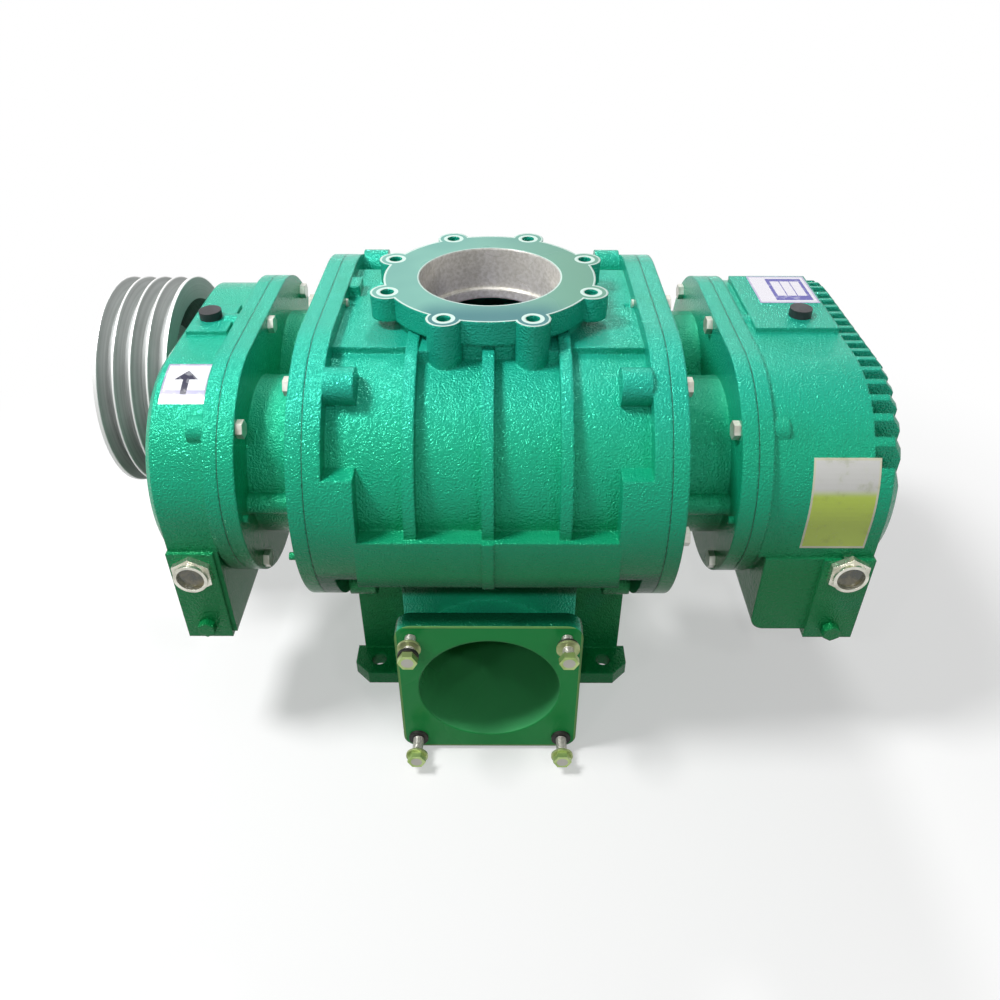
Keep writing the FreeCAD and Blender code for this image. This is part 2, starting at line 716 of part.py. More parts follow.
# Where the oil fittings of each cover sit along the pump, and the front face that holds them
GLASS_PLACE = {
    "pulley_end": f"-({COVER_FACE} + pulley_end_sump_start + pulley_end_sump_length / 2)",
    "gear_end": f"({COVER_FACE} + gear_end_sump_start + gear_end_sump_length - gear_end_pad_length / 2)",
}
PLUG_PLACE = {
    "pulley_end": f"-({COVER_FACE} + pulley_end_plug_place)",
    "gear_end": f"({COVER_FACE} + gear_end_plug_place)",
}
FITTING_FACE = {
    "pulley_end": "pulley_end_sump_reach",
    "gear_end": "(gear_end_sump_reach + gear_end_pad_proud)",
}


def make_cover(label, side):
    """Flange and the bosses for the cover bolts."""
    body = new_body(label)
    low, high = span(side, COVER_FACE, COVER_RIM)
    pad(body, "YZ_Plane", low, high, obround, "pitch_radius", "housing_radius")
    low, high = span(side, COVER_RIM, f"({COVER_RIM} + cover_boss_length)")
    pad(body, "YZ_Plane", low, high, discs, cover_boss_places(), "cover_boss_radius")
    return body


def make_front_wall(body, side, name, radius, end):
    """The front goes straight down from the axes to the top of the sump."""
    low, high = span(side, COVER_RIM, end)
    pad(body, "YZ_Plane", low, high, rectangle, f"-(pitch_radius + {radius})", "-pitch_radius",
        f"{name}_sump_top", "0")


def finish_cover(body, side, end):
    """Cavity, bolt holes and dowel holes."""
    low, high = span(side, COVER_FACE, f"({end} - cover_wall)")
    pocket(body, "YZ_Plane", low, high, obround, "pitch_radius", CAVITY_RADIUS)
    low, high = span(side, COVER_FACE, f"({COVER_FACE} + cover_bolt_grip)")
    pocket(body, "YZ_Plane", low, high, discs, cover_bolt_places(), "bolt_radius")
    pocket(body, "YZ_Plane", low, high, discs, cover_dowel_places(), "dowel_radius")


def make_sump(body, side, name, start, end, front, bottom):
    """Oil sump at the lower front of a cover, hollow and open to the cover's cavity."""
    low, high = span(side, start, end)
    pad(body, "YZ_Plane", low, high, rectangle, f"-{front}", f"-{name}_sump_back", bottom, f"{name}_sump_top")


def hollow_sump(body, side, name, start, end):
    low, high = span(side, f"({start} + sump_wall)", f"({end} - sump_wall)")
    pocket(body, "YZ_Plane", low, high, rectangle, f"-{name}_sump_reach + sump_wall",
           f"-{name}_sump_back - sump_wall",
           f"{name}_sump_bottom + sump_wall", f"{name}_sump_top - sump_wall")


def make_filler_pad(body, side, name, radius):
    """Raised pad on top of a cover, under its filler plug."""
    near = f"({COVER_FACE} + {name}_top_pad_start)"
    low, high = span(side, near, f"({near} + {name}_top_pad_length)")
    pad(body, "XY_Plane", f"({radius} - cover_wall / 2)", f"({radius} + filler_pad_height)", rectangle,
        low, high, f"-{name}_top_pad_front", f"{name}_top_pad_back")


def make_fitting_holes(body, name, radius):
    """Threads for the filler plug, the sight glass and the drain plug."""
    front, place = FITTING_FACE[name], GLASS_PLACE[name]
    pocket(body, "XY_Plane", f"({radius} - cover_wall)", f"({radius} + filler_pad_height)", circle,
           PLUG_PLACE[name], "0", "filler_thread")
    pocket(body, "XZ_Plane", f"({front} - glass_depth)", front, circle, place, f"-{name}_glass_height",
           "glass_thread")
    pocket(body, "XZ_Plane", f"({front} - glass_depth)", front, circle, place, f"-{name}_drain_height",
           "drain_thread")


def make_pulley_end_cover():
    name, radius, end = "pulley_end", "pulley_end_cover_radius", PULLEY_COVER_END
    body = make_cover("pulley_end_cover", -1)
    low, high = span(-1, COVER_RIM, end)
    pad(body, "YZ_Plane", low, high, obround, "pitch_radius", radius)
    face = value(f"-{end}")
    bevel_edges(body, "pulley_end_cover_corner", lambda edge: edge.BoundBox.XMax < face + EDGE_REACH)
    make_front_wall(body, -1, name, radius, f"({end} - pulley_end_cover_corner)")
    start = f"({COVER_FACE} + pulley_end_sump_start)"
    stop = f"({start} + pulley_end_sump_length)"
    make_sump(body, -1, name, start, stop, "pulley_end_sump_reach", "pulley_end_sump_bottom")
    make_sump(body, -1, name, f"({start} - pulley_end_sump_step)", stop,
              "(pulley_end_cover_radius + pitch_radius)", "(pulley_end_sump_bottom + pulley_end_sump_step)")
    make_filler_pad(body, -1, name, radius)
    finish_cover(body, -1, end)
    hollow_sump(body, -1, name, start, stop)
    make_fitting_holes(body, name, radius)
    low, high = span(-1, f"({end} - cover_wall)", end)
    pocket(body, "YZ_Plane", low, high, circle, "pitch_radius", "0", "oil_seal_radius")


def make_gear_end_cover():
    name, radius, end = "gear_end", "gear_end_cover_radius", GEAR_COVER_END
    body = make_cover("gear_end_cover", 1)
    tips = f"({end} + fin_length)"
    pad(body, "YZ_Plane", COVER_RIM, tips, obround, "pitch_radius", radius)
    face = value(tips)
    bevel_edges(body, "fin_corner", lambda edge: edge.BoundBox.XMin > face - EDGE_REACH)
    make_front_wall(body, 1, name, radius, f"({tips} - fin_corner)")
    cut_fins(body, end, tips)
    start = f"({COVER_FACE} + gear_end_sump_start)"
    stop = f"({start} + gear_end_sump_length)"
    make_sump(body, 1, name, start, stop, "gear_end_sump_reach", "gear_end_sump_bottom")
    edge_along, edge_height = value(start), value("gear_end_sump_bottom")
    round_edges(body, "gear_end_sump_corner", lambda edge: abs(edge.BoundBox.XMax - edge_along) < EDGE_REACH
                and edge.BoundBox.ZMax < edge_height + EDGE_REACH)
    make_sump(body, 1, name, f"({stop} - gear_end_pad_length)", stop,
              "(gear_end_sump_reach + gear_end_pad_proud)", "gear_end_pad_bottom")
    make_filler_pad(body, 1, name, radius)
    finish_cover(body, 1, end)
    hollow_sump(body, 1, name, start, stop)
    make_fitting_holes(body, name, radius)


def cut_fins(body, end, tips):
    """Upright slots that leave a row of thin fins on the end."""
    half_span = "(pitch_radius + gear_end_cover_radius - fin_inset)"
    pitch = f"((2 * {half_span} - fin_thickness) / (fin_count - 1))"
    first = f"(-{half_span} + fin_thickness)"
    slot = pocket(body, "YZ_Plane", end, tips, rectangle, first, f"({first} + {pitch} - fin_thickness)",
                  "-gear_end_cover_radius", "gear_end_cover_radius")
    pattern = body.newObject("PartDesign::LinearPattern", "gear_end_cover_fins")
    pattern.Originals = [slot]
    pattern.Direction = (next(item for item in body.Origin.OriginFeatures if item.Role == "Y_Axis"), [""])
    pattern.setExpression("Length", bound(f"{pitch} * (fin_count - 2)"))
    pattern.setExpression("Occurrences", bound("fin_count - 1"))
    body.Tip = pattern


def make_oil_fittings(name, radius):
    """Sight glass with its lens, drain plug and filler plug of one cover."""
    place, front = GLASS_PLACE[name], FITTING_FACE[name]
    glass, drain_level = f"-{name}_glass_height", f"-{name}_drain_height"
    inner = f"({front} - glass_depth)"
    collar_end = f"({front} + glass_collar)"
    ring_end = f"({collar_end} + glass_ring_height)"
    collar = new_body(f"{name}_sight_glass_body", place)
    pad(collar, "XZ_Plane", inner, front, circle, "0", glass, "glass_thread")
    pad(collar, "XZ_Plane", front, collar_end, hexagon, "0", glass, "glass_flats")
    pad(collar, "XZ_Plane", collar_end, ring_end, circle, "0", glass, "glass_ring")
    pocket(collar, "XZ_Plane", inner, ring_end, circle, "0", glass, "lens_radius")
    lens = new_body(f"{name}_sight_glass_lens", place)
    pad(lens, "XZ_Plane", f"({ring_end} - 2 * lens_thickness)", f"({ring_end} - lens_thickness)", circle,
        "0", glass, "lens_radius")
    drain = new_body(f"{name}_drain_plug", place)
    pad(drain, "XZ_Plane", inner, front, circle, "0", drain_level, "drain_thread")
    pad(drain, "XZ_Plane", front, f"({front} + drain_head)", hexagon, "0", drain_level, "drain_flats")
    filler = new_body(f"{name}_filler_plug", PLUG_PLACE[name])
    top = f"({radius} + filler_pad_height)"
    pad(filler, "XY_Plane", f"({radius} - cover_wall)", top, circle, "0", "0", "filler_thread")
    pad(filler, "XY_Plane", top, f"({top} + filler_plug_height)", circle, "0", "0", "filler_plug_radius")


# Rotors: round lobes, and between them the curves that a partner's lobes roll into

def rotor_face():
    """One rotor's section in the YZ plane about the origin, a lobe pointing along +Y."""
    pitch, tip, clearance = value("pitch_radius"), value("tip_radius"), value("flank_clearance")
    lobes = int(value("lobe_count"))
    half_lobe = math.pi / (2 * lobes)
    centre = (tip ** 2 - pitch ** 2) / (2 * (tip - pitch * math.cos(half_lobe)))
    lobe_radius = tip - centre
    edges = []
    for lobe in range(lobes):
        lobe_angle = 2 * math.pi * lobe / lobes
        edges.append(lobe_arc(centre, lobe_radius - clearance, pitch, half_lobe, lobe_angle))
        valley_angle = lobe_angle + math.pi / lobes
        edges += valley_arcs(centre, lobe_radius + clearance, pitch, half_lobe, valley_angle)
    return Part.Face(Part.Wire(edges))


def turned(along, side, angle):
    across, up = math.cos(angle), math.sin(angle)
    return Vector(0, along * across - side * up, along * up + side * across)


def lobe_arc(centre, radius, pitch, half_lobe, angle):
    along = pitch * math.cos(half_lobe) - centre
    side = pitch * math.sin(half_lobe)
    reach = math.hypot(along, side)
    end_along, end_side = centre + radius * along / reach, radius * side / reach
    start = turned(end_along, -end_side, angle)
    return Part.Arc(start, turned(centre + radius, 0, angle), turned(end_along, end_side, angle)).toShape()


def valley_arcs(centre, radius, pitch, half_lobe, angle):
    """Where the partner's lobe, rolling on the pitch circles, touches this rotor."""
    points = []
    for step in range(2 * VALLEY_ARCS + 1):
        roll = half_lobe * (step / VALLEY_ARCS - 1)
        along = 2 * pitch * math.cos(roll) - centre * math.cos(2 * roll)
        side = 2 * pitch * math.sin(roll) - centre * math.sin(2 * roll)
        to_along, to_side = pitch * math.cos(roll) - along, pitch * math.sin(roll) - side
        reach = math.hypot(to_along, to_side)
        points.append(turned(along + radius * to_along / reach, side + radius * to_side / reach, angle))
    return [Part.Arc(*points[first:first + 3]).toShape() for first in range(0, 2 * VALLEY_ARCS, 2)]



def make_rotors():
    length = value(f"2 * {ROTOR_END}")
    bore = Part.makeCylinder(value("rotor_bore"), length, Vector(), Vector(1, 0, 0))
    rotor = rotor_face().extrude(Vector(length, 0, 0)).cut(bore)
    solid("drive_rotor", rotor, f"-{ROTOR_END}", "pitch_radius", "axis_height")
    solid("driven_rotor", rotor.copy(), f"-{ROTOR_END}", "-pitch_radius", "axis_height")


# Shafts: turned steps for rotor, sleeve, bearing, gear or slinger, nut, seal and pulley

def make_shaft(label, back, tail):
    body = new_body(label, "0", back)
    corners = [(f"-{PLATE_INNER}", "rotor_bore"), (PLATE_INNER, "rotor_bore")]
    gear_nut_end = f"({GEAR_END} + nut_width)"
    right = [(PLATE_INNER, "bearing_bore"), (BEARING_OUTER, "bearing_bore"), (BEARING_OUTER, "gear_seat"),
             (GEAR_END, "gear_seat"), (GEAR_END, "thread_radius"), (gear_nut_end, "thread_radius"),
             (gear_nut_end, "0")]
    left = tail + [(f"-{SLINGER_END}", "gear_seat"), (f"-{BEARING_OUTER}", "gear_seat"),
                   (f"-{BEARING_OUTER}", "bearing_bore"), (f"-{PLATE_INNER}", "bearing_bore")]
    revolve(body, corners + right + left)
    seat = "(gear_seat - key_depth)"
    pocket(body, "XY_Plane", seat, "(gear_seat + key_rise)", rectangle, GEAR_START, GEAR_END,
           "-key_width / 2", "key_width / 2")
    return body


def make_shafts():
    nut_end = f"-({SLINGER_END} + nut_width)"
    short_tail = [(nut_end, "0"), (nut_end, "thread_radius"), (f"-{SLINGER_END}", "thread_radius")]
    make_shaft("driven_shaft", "-pitch_radius", short_tail)
    shaft_end = f"-({PULLEY_OUTER} - shaft_end_recess)"
    seal_end = f"-({PULLEY_COVER_END} + retainer_thickness + bolt_clearance)"
    long_tail = [(shaft_end, "0"), (shaft_end, "pulley_seat"), (seal_end, "pulley_seat"),
                 (seal_end, "thread_radius"), (f"-{SLINGER_END}", "thread_radius")]
    body = make_shaft("drive_shaft", "pitch_radius", long_tail)
    pocket(body, "XY_Plane", "(pulley_seat - key_depth)", "(pulley_seat + key_rise)", rectangle,
           shaft_end, f"({shaft_end} + pulley_key_length)", "-key_width / 2", "key_width / 2")


def make_key(label, back, low, high, seat):
    body = new_body(label, "0", back)
    pad(body, "XY_Plane", f"({seat} - key_depth)", f"({seat} + key_rise)", rectangle, low, high,
        "-key_width / 2", "key_width / 2")


def make_turned_pieces(name, back):
    """Sleeves, slinger and lock nuts of one shaft."""
    for end, side in (("pulley_end", -1), ("gear_end", 1)):
        sleeve = new_body(f"{name}_{end}_seal_sleeve", "0", back)
        low, high = span(side, PLATE_INNER, BEARING_INNER)
        revolve(sleeve, [(low, "bearing_bore"), (high, "bearing_bore"), (high, "sleeve_radius"),
                         (low, "sleeve_radius")])
    slinger = new_body(f"{name}_oil_slinger", "0", back)
    revolve(slinger, [
        (f"-{BEARING_OUTER}", "gear_seat"), (f"-{SLINGER_END}", "gear_seat"),
        (f"-{SLINGER_END}", "slinger_radius"), (f"-{SLINGER_START}", "slinger_radius"),
        (f"-{SLINGER_START}", "hub_radius"), (f"-{BEARING_OUTER}", "hub_radius")])
    for label, side, start in ((f"{name}_bearing_nut", -1, SLINGER_END), (f"{name}_gear_nut", 1, GEAR_END)):
        nut = new_body(label, "0", back)
        low, high = span(side, start, f"({start} + nut_width)")
        revolve(nut, [(low, "thread_radius"), (high, "thread_radius"),
                      (high, "nut_radius"), (low, "nut_radius")])
        notch = pocket(nut, "YZ_Plane", low, high, rectangle, "-bolt_radius / 2", "bolt_radius / 2",
                       "nut_radius - bolt_radius / 2", "nut_radius + bolt_radius")
        polar(nut, notch, "X_Axis", 4)


# Bearings: outer ring, inner ring and rollers at each end of each shaft

def make_bearing(name, back, side):
    low, high = span(side, BEARING_INNER, BEARING_OUTER)
    outer = new_body(f"{name}_bearing_outer_ring", "0", back)
    revolve(outer, [(low, "outer_race"), (high, "outer_race"),
                    (high, "bearing_outside"), (low, "bearing_outside")])
    inner = new_body(f"{name}_bearing_inner_ring", "0", back)
    revolve(inner, [(low, "bearing_bore"), (high, "bearing_bore"), (high, "inner_race"), (low, "inner_race")])
    radius = value("(outer_race - inner_race) / 2 - roller_gap")
    orbit = value("(outer_race + inner_race) / 2")
    start, length = value(low) + value("bearing_width") / 6, value("bearing_width") * 2 / 3
    count = int(value("roller_count"))
    rollers = []
    for step in range(count):
        angle = 2 * math.pi * step / count
        spot = Vector(start, orbit * math.cos(angle), orbit * math.sin(angle))
        rollers.append(Part.makeCylinder(radius, length, spot, Vector(1, 0, 0)))
    solid(f"{name}_bearing_rollers", Part.makeCompound(rollers), "0", back, "axis_height")


def make_circlips():
    """The four open rings that hold the outer rings in their seats."""
    rings = []
    outside = value("bearing_outside + circlip_groove")
    inside = value("bearing_outside - circlip_ring")
    width = value("circlip_width")
    for side in (-1, 1):
        low, _ = span(side, BEARING_OUTER, f"({BEARING_OUTER} + circlip_width)")
        for across, _ in AXES:
            spot = Vector(value(low), value(across), 0)
            ring = Part.makeCylinder(outside, width, spot, Vector(1, 0, 0))
            ring = ring.cut(Part.makeCylinder(inside, width, spot, Vector(1, 0, 0)))
            gap = Part.makeBox(width, inside / 3, outside, spot - Vector(0, inside / 6, 0))
            rings.append(ring.cut(gap))
    solid("bearing_circlips", Part.makeCompound(rings), "0", "0", "axis_height")


# Timing gears: one to one, the second turned by half a tooth to mesh

def involute_point(base, angle, turn, mirror):
    """Where a thread unwound from the base circle by an angle ends."""
    along = base * (math.cos(angle) + angle * math.sin(angle))
    side = base * (math.sin(angle) - angle * math.cos(angle)) * mirror
    return turned(along, side, turn)


def gear_face(phase):
    pitch, teeth = value("pitch_radius"), int(value("tooth_count"))
    module = 2 * pitch / teeth
    base = pitch * math.cos(math.radians(value("pressure_angle")))
    tip, root = pitch + module, pitch - 1.25 * module
    half_tooth = math.pi / (2 * teeth) - value("backlash") / (4 * pitch)
    at_pitch = math.sqrt((pitch / base) ** 2 - 1)
    at_tip = math.sqrt((tip / base) ** 2 - 1)
    lean = half_tooth + at_pitch - math.atan(at_pitch)
    edges = []
    previous = None
    for tooth in range(teeth + 1):
        middle = 2 * math.pi * tooth / teeth + phase
        low_side = [involute_point(base, angle, middle - lean, 1) for angle in (0, at_tip / 2, at_tip)]
        high_side = [involute_point(base, angle, middle + lean, -1) for angle in (0, at_tip / 2, at_tip)]
        foot = turned(root, 0, middle - lean)
        if previous:
            edges.append(Part.LineSegment(previous, foot).toShape())
        if tooth == teeth:
            break
        edges.append(Part.LineSegment(foot, low_side[0]).toShape())
        edges.append(Part.Arc(*low_side).toShape())
        edges.append(Part.LineSegment(low_side[2], high_side[2]).toShape())
        edges.append(Part.Arc(*reversed(high_side)).toShape())
        previous = turned(root, 0, middle + lean)
        edges.append(Part.LineSegment(high_side[0], previous).toShape())
    return Part.Face(Part.Wire(edges))


def make_gears():
    width, hub = value("gear_width"), value(f"{GEAR_START} - {BEARING_OUTER}")
    seat, key = value("gear_seat"), value("key_width")
    half_pitch = math.pi / value("tooth_count")
    for name, back, phase in (("drive", "pitch_radius", 0), ("driven", "-pitch_radius", half_pitch)):
        gear = gear_face(phase).extrude(Vector(width, 0, 0))
        collar = Part.makeCylinder(value("hub_radius"), hub, Vector(-hub, 0, 0), Vector(1, 0, 0))
        gear = gear.fuse(collar)
        gear = gear.cut(Part.makeCylinder(seat, width + hub, Vector(-hub, 0, 0), Vector(1, 0, 0)))
        slot = Part.makeBox(width, key, seat + value("key_rise"), Vector(0, -key / 2, 0))
        gear = gear.cut(slot)
        solid(f"{name}_timing_gear", gear, GEAR_START, back, "axis_height")
        make_key(f"{name}_gear_key", back, GEAR_START, GEAR_END, "gear_seat")


# Seal where the drive shaft leaves the cover

def make_shaft_seal():
    seal = new_body("drive_shaft_oil_seal", "0", "pitch_radius")
    end = f"-{PULLEY_COVER_END}"
    inner = f"({end} + oil_seal_width)"
    revolve(seal, [(end, "thread_radius"), (inner, "thread_radius"),
                   (inner, "(thread_radius + seal_lip_height)"),
                   (f"({end} + oil_seal_width / 3)", "(thread_radius + seal_lip_height)"),
                   (f"({end} + oil_seal_width / 3)", "(oil_seal_radius - seal_lip_height)"),
                   (inner, "(oil_seal_radius - seal_lip_height)"), (inner, "oil_seal_radius"),
                   (end, "oil_seal_radius")])
    retainer = new_body("oil_seal_retainer", "0", "pitch_radius")
    outer = f"({end} - retainer_thickness)"
    revolve(retainer, [(outer, "(thread_radius + bolt_clearance)"), (end, "(thread_radius + bolt_clearance)"),
                       (end, "retainer_radius"), (outer, "retainer_radius")])
    hole = pocket(retainer, "YZ_Plane", outer, end, circle,
                  "0", "retainer_bolt_circle", "retainer_bolt_radius")
    polar(retainer, hole, "X_Axis", "retainer_bolt_count")


# Pulley with its taper bush and key

def groove_corners():
    """The rim's outline with its belt grooves, from the inner edge to the outer edge."""
    corners = []
    for groove in range(int(value("groove_count"))):
        from_middle = f"((groove_count - 1) / 2 - {groove}) * groove_pitch"
        middle = f"(-{PULLEY_INNER} - pulley_width / 2 + {from_middle})"
        bottom = "(pulley_radius - groove_depth)"
        corners += [
            (f"({middle} + groove_mouth / 2)", "pulley_radius"), (f"({middle} + groove_root / 2)", bottom),
            (f"({middle} - groove_root / 2)", bottom), (f"({middle} - groove_mouth / 2)", "pulley_radius")]
    return corners


def make_pulley():
    body = new_body("pulley", "0", "pitch_radius")
    inner, outer = f"-{PULLEY_INNER}", f"-{PULLEY_OUTER}"
    rim_inside = "(pulley_radius - groove_depth - rim_wall)"
    web = f"({outer} + web_thickness)"
    hub_end = f"({outer} + bush_length)"
    revolve(body, [(inner, "pulley_radius")] + groove_corners() + [
        (outer, "pulley_radius"), (outer, "bush_large"), (hub_end, "bush_small"), (hub_end, "pulley_hub"),
        (web, "pulley_hub"), (web, rim_inside), (inner, rim_inside)])
    bush = new_body("pulley_bush", "0", "pitch_radius")
    revolve(bush, [(outer, "pulley_seat"), (hub_end, "pulley_seat"), (hub_end, "bush_small"),
                   (outer, "bush_large")])
    pocket(bush, "XY_Plane", "0", "(pulley_seat + key_rise)", rectangle, outer, hub_end,
           "-key_width / 2", "key_width / 2")
    start = f"-({PULLEY_OUTER} - shaft_end_recess)"
    stop = f"(-{PULLEY_OUTER} + bush_length)"
    make_key("pulley_key", "pitch_radius", start, stop, "pulley_seat")


# Fasteners

def hex_prism(flats, low, high):
    """A hexagonal prism along X between two places."""
    point = flats / math.sqrt(3)
    corners = [Vector(low, point * math.cos(math.pi / 3 * step), point * math.sin(math.pi / 3 * step))
               for step in range(7)]
    return Part.Face(Part.makePolygon(corners)).extrude(Vector(high - low, 0, 0))


def hex_bolt(radius, flats, head, length):
    """A bolt along X: the head's seat at the origin, the shank towards -X."""
    shank = Part.makeCylinder(radius, length, Vector(-length, 0, 0), Vector(1, 0, 0))
    return hex_prism(flats, 0, head).fuse(shank).removeSplitter()


def copies(shape, spots, turn):
    """The shape turned and moved to each spot."""
    made = []
    for spot in spots:
        piece = shape.copy()
        piece.Placement = Placement(spot, turn)
        made.append(piece)
    return made


def make_fasteners():
    bolt_radius, flats, head = value("bolt_radius"), value("bolt_flats"), value("bolt_head")
    about = Rotation(Vector(0, 0, 1), 180)
    plate_grip = "plate_thickness + gasket_thickness + plate_bolt_grip"
    cover_grip = "housing_flange_thickness + gasket_thickness + cover_bolt_grip"
    plate_bolt = hex_bolt(bolt_radius, flats, head, value(plate_grip))
    cover_bolt = hex_bolt(bolt_radius, flats, head, value(cover_grip))
    cover_dowel = dowel(f"cover_dowel_standing + {cover_grip}")
    plate_bolts, cover_bolts, dowels = [], [], []
    for side in (-1, 1):
        outward, inward = (about, Rotation()) if side < 0 else (Rotation(), about)
        plate_seat, cover_seat = side * value(PLATE_OUTER), side * value(NECK_END)
        plate_bolts += copies(plate_bolt, spots_at(plate_seat, plate_bolt_places(side)), outward)
        cover_bolts += copies(cover_bolt, spots_at(cover_seat, cover_bolt_places()), inward)
        standing = "plate_dowel_standing" if side < 0 else "0"
        plate_dowel = dowel(f"{standing} + 2 * plate_thickness + gasket_thickness")
        head = side * value(f"{PLATE_OUTER} + {standing}")
        dowels += copies(plate_dowel, spots_at(head, plate_dowel_places(side)), inward)
        head = side * value(f"{NECK_END} - cover_dowel_standing")
        dowels += copies(cover_dowel, spots_at(head, cover_dowel_places()), outward)
    solid("end_plate_bolts", Part.makeCompound(plate_bolts), "0", "0", "axis_height")
    solid("cover_bolts", Part.makeCompound(cover_bolts), "0", "0", "axis_height")
    solid("dowel_pins", Part.makeCompound(dowels), "0", "0", "axis_height")
    make_outlet_fasteners()
    make_retainer_bolts()


def dowel(length):
    return Part.makeCylinder(value("dowel_radius"), value(length), Vector(), Vector(1, 0, 0))


def spots_at(along, places):
    return [Vector(along, value(across), value(up)) for across, up in places]


def make_retainer_bolts():
    seat = -value(PULLEY_COVER_END) - value("retainer_thickness")
    bolt = hex_bolt(value("retainer_bolt_radius"), value("retainer_bolt_flats"), value("retainer_bolt_head"),
                    value("retainer_thickness"))
    count, orbit = int(value("retainer_bolt_count")), value("retainer_bolt_circle")
    spots = []
    for step in range(count):
        angle = 2 * math.pi * step / count
        spots.append(Vector(seat, orbit * math.sin(angle), orbit * math.cos(angle)))
    bolts = copies(bolt, spots, Rotation(Vector(0, 0, 1), 180))
    solid("oil_seal_retainer_bolts", Part.makeCompound(bolts), "0", "pitch_radius", "axis_height")


def make_outlet_fasteners():
    """The outlet's four bolts, half unscrewed. On each hang a flat washer and a spring washer."""
    face, standing = value("outlet_reach"), value("outlet_bolt_standing")
    flat_thickness, spring_thickness = value("outlet_washer_thickness"), value("spring_washer_thickness")
    hole = value("outlet_bolt_radius")
    bolt = hex_bolt(hole, value("outlet_bolt_flats"), value("outlet_bolt_head"),
                    standing + value("outlet_flange_thickness"))
    flat = washer(value("outlet_washer_radius"), hole, flat_thickness)
    spring = washer(value("spring_washer_radius"), hole, spring_thickness)
    middle = standing / 2
    flat_places = [standing - flat_thickness, middle, standing - flat_thickness, middle]
    spring_places = [0, standing - spring_thickness, 0, middle - spring_thickness]
    place_on_outlet("outlet_bolts", bolt, [face + standing] * 4)
    place_on_outlet("outlet_flat_washers", flat, [face + place for place in flat_places])
    place_on_outlet("outlet_spring_washers", spring, [face + place for place in spring_places])


def place_on_outlet(label, shape, reaches):
    """One copy at each of the outlet's bolts, each at its own distance in front of the axes."""
    forwards = Rotation(Vector(0, 0, 1), -90)
    made = []
    for reach, (across, up) in zip(reaches, outlet_bolt_places()):
        made += copies(shape, [Vector(value(across), -reach, value(up))], forwards)
    solid(label, Part.makeCompound(made), "0", "0", "axis_height")


def washer(outside, inside, thickness):
    ring = Part.makeCylinder(outside, thickness, Vector(), Vector(1, 0, 0))
    return ring.cut(Part.makeCylinder(inside, thickness, Vector(), Vector(1, 0, 0)))


# The whole pump

make_casing()
make_end_plate("pulley_end_plate", -1)
make_end_plate("gear_end_plate", 1)
make_gasket("pulley_end_plate_gasket", -1, CASING_END, PLATE_INNER, FLANGE_RADIUS,
            plate_bolt_places(-1), plate_dowel_places(-1))
make_gasket("gear_end_plate_gasket", 1, CASING_END, PLATE_INNER, FLANGE_RADIUS,
            plate_bolt_places(1), plate_dowel_places(1))
make_gasket("pulley_end_cover_gasket", -1, HOUSING_FACE, COVER_FACE, "housing_radius",
            cover_bolt_places(), cover_dowel_places())
make_gasket("gear_end_cover_gasket", 1, HOUSING_FACE, COVER_FACE, "housing_radius",
            cover_bolt_places(), cover_dowel_places())
make_pulley_end_cover()
make_gear_end_cover()
make_oil_fittings("pulley_end", "pulley_end_cover_radius")
make_oil_fittings("gear_end", "gear_end_cover_radius")
make_rotors()
make_shafts()
make_gears()
for shaft_name, shaft_back in (("drive", "pitch_radius"), ("driven", "-pitch_radius")):
    make_turned_pieces(shaft_name, shaft_back)
    make_bearing(f"{shaft_name}_pulley_end", shaft_back, -1)
    make_bearing(f"{shaft_name}_gear_end", shaft_back, 1)
make_circlips()
make_shaft_seal()
make_pulley()
make_fasteners()

doc.recompute()
for item in doc.Objects:
    if "Invalid" in item.State or "Error" in item.State:
        raise RuntimeError(f"{item.Label} could not be built")
for part in PARTS:
    if part.Shape.isNull() or not part.Shape.isValid():
        raise RuntimeError(f"{part.Label} has no sound shape")
os.makedirs("parts", exist_ok=True)
for part in PARTS:
    part.Shape.exportStep(f"parts/{part.Label}.step")
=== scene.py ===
import math

import bpy
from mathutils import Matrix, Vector


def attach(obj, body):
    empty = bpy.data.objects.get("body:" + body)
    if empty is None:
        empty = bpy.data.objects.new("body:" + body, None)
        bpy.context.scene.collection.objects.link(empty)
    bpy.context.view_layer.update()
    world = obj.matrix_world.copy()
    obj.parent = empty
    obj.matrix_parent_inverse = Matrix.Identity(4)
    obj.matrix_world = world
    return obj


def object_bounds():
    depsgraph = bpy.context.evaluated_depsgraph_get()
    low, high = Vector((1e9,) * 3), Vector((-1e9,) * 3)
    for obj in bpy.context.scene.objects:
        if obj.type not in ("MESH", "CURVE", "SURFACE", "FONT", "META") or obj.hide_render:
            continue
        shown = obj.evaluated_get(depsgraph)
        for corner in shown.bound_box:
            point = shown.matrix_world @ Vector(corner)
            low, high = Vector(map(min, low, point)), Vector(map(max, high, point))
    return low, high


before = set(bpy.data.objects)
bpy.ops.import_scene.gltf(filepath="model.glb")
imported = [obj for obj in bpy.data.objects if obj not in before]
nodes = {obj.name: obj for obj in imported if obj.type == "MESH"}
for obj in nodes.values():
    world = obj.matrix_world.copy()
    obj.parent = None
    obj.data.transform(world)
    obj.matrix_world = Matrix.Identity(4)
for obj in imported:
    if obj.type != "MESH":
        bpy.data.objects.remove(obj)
cad_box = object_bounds()


# Camera: it stands high in front of the pump's middle and looks down on it. Its place, turn and
# lens come from a fit to the flanges, rims and tapped holes in the photograph.

CAMERA_PLACE = (0.0137, -0.8514, 0.8521)
LOOK_DOWN, ROLL, HEADING = 35.874, -0.081, 0.099
SENSOR_WIDTH = 36.0
FOCAL_PIXELS = 852.2
FRAME_PIXELS = 1000.0
PRINCIPAL_POINT = (501.78, 467.30)
CLIP_START = 0.01

scene = bpy.context.scene
scene.view_settings.view_transform = "Standard"

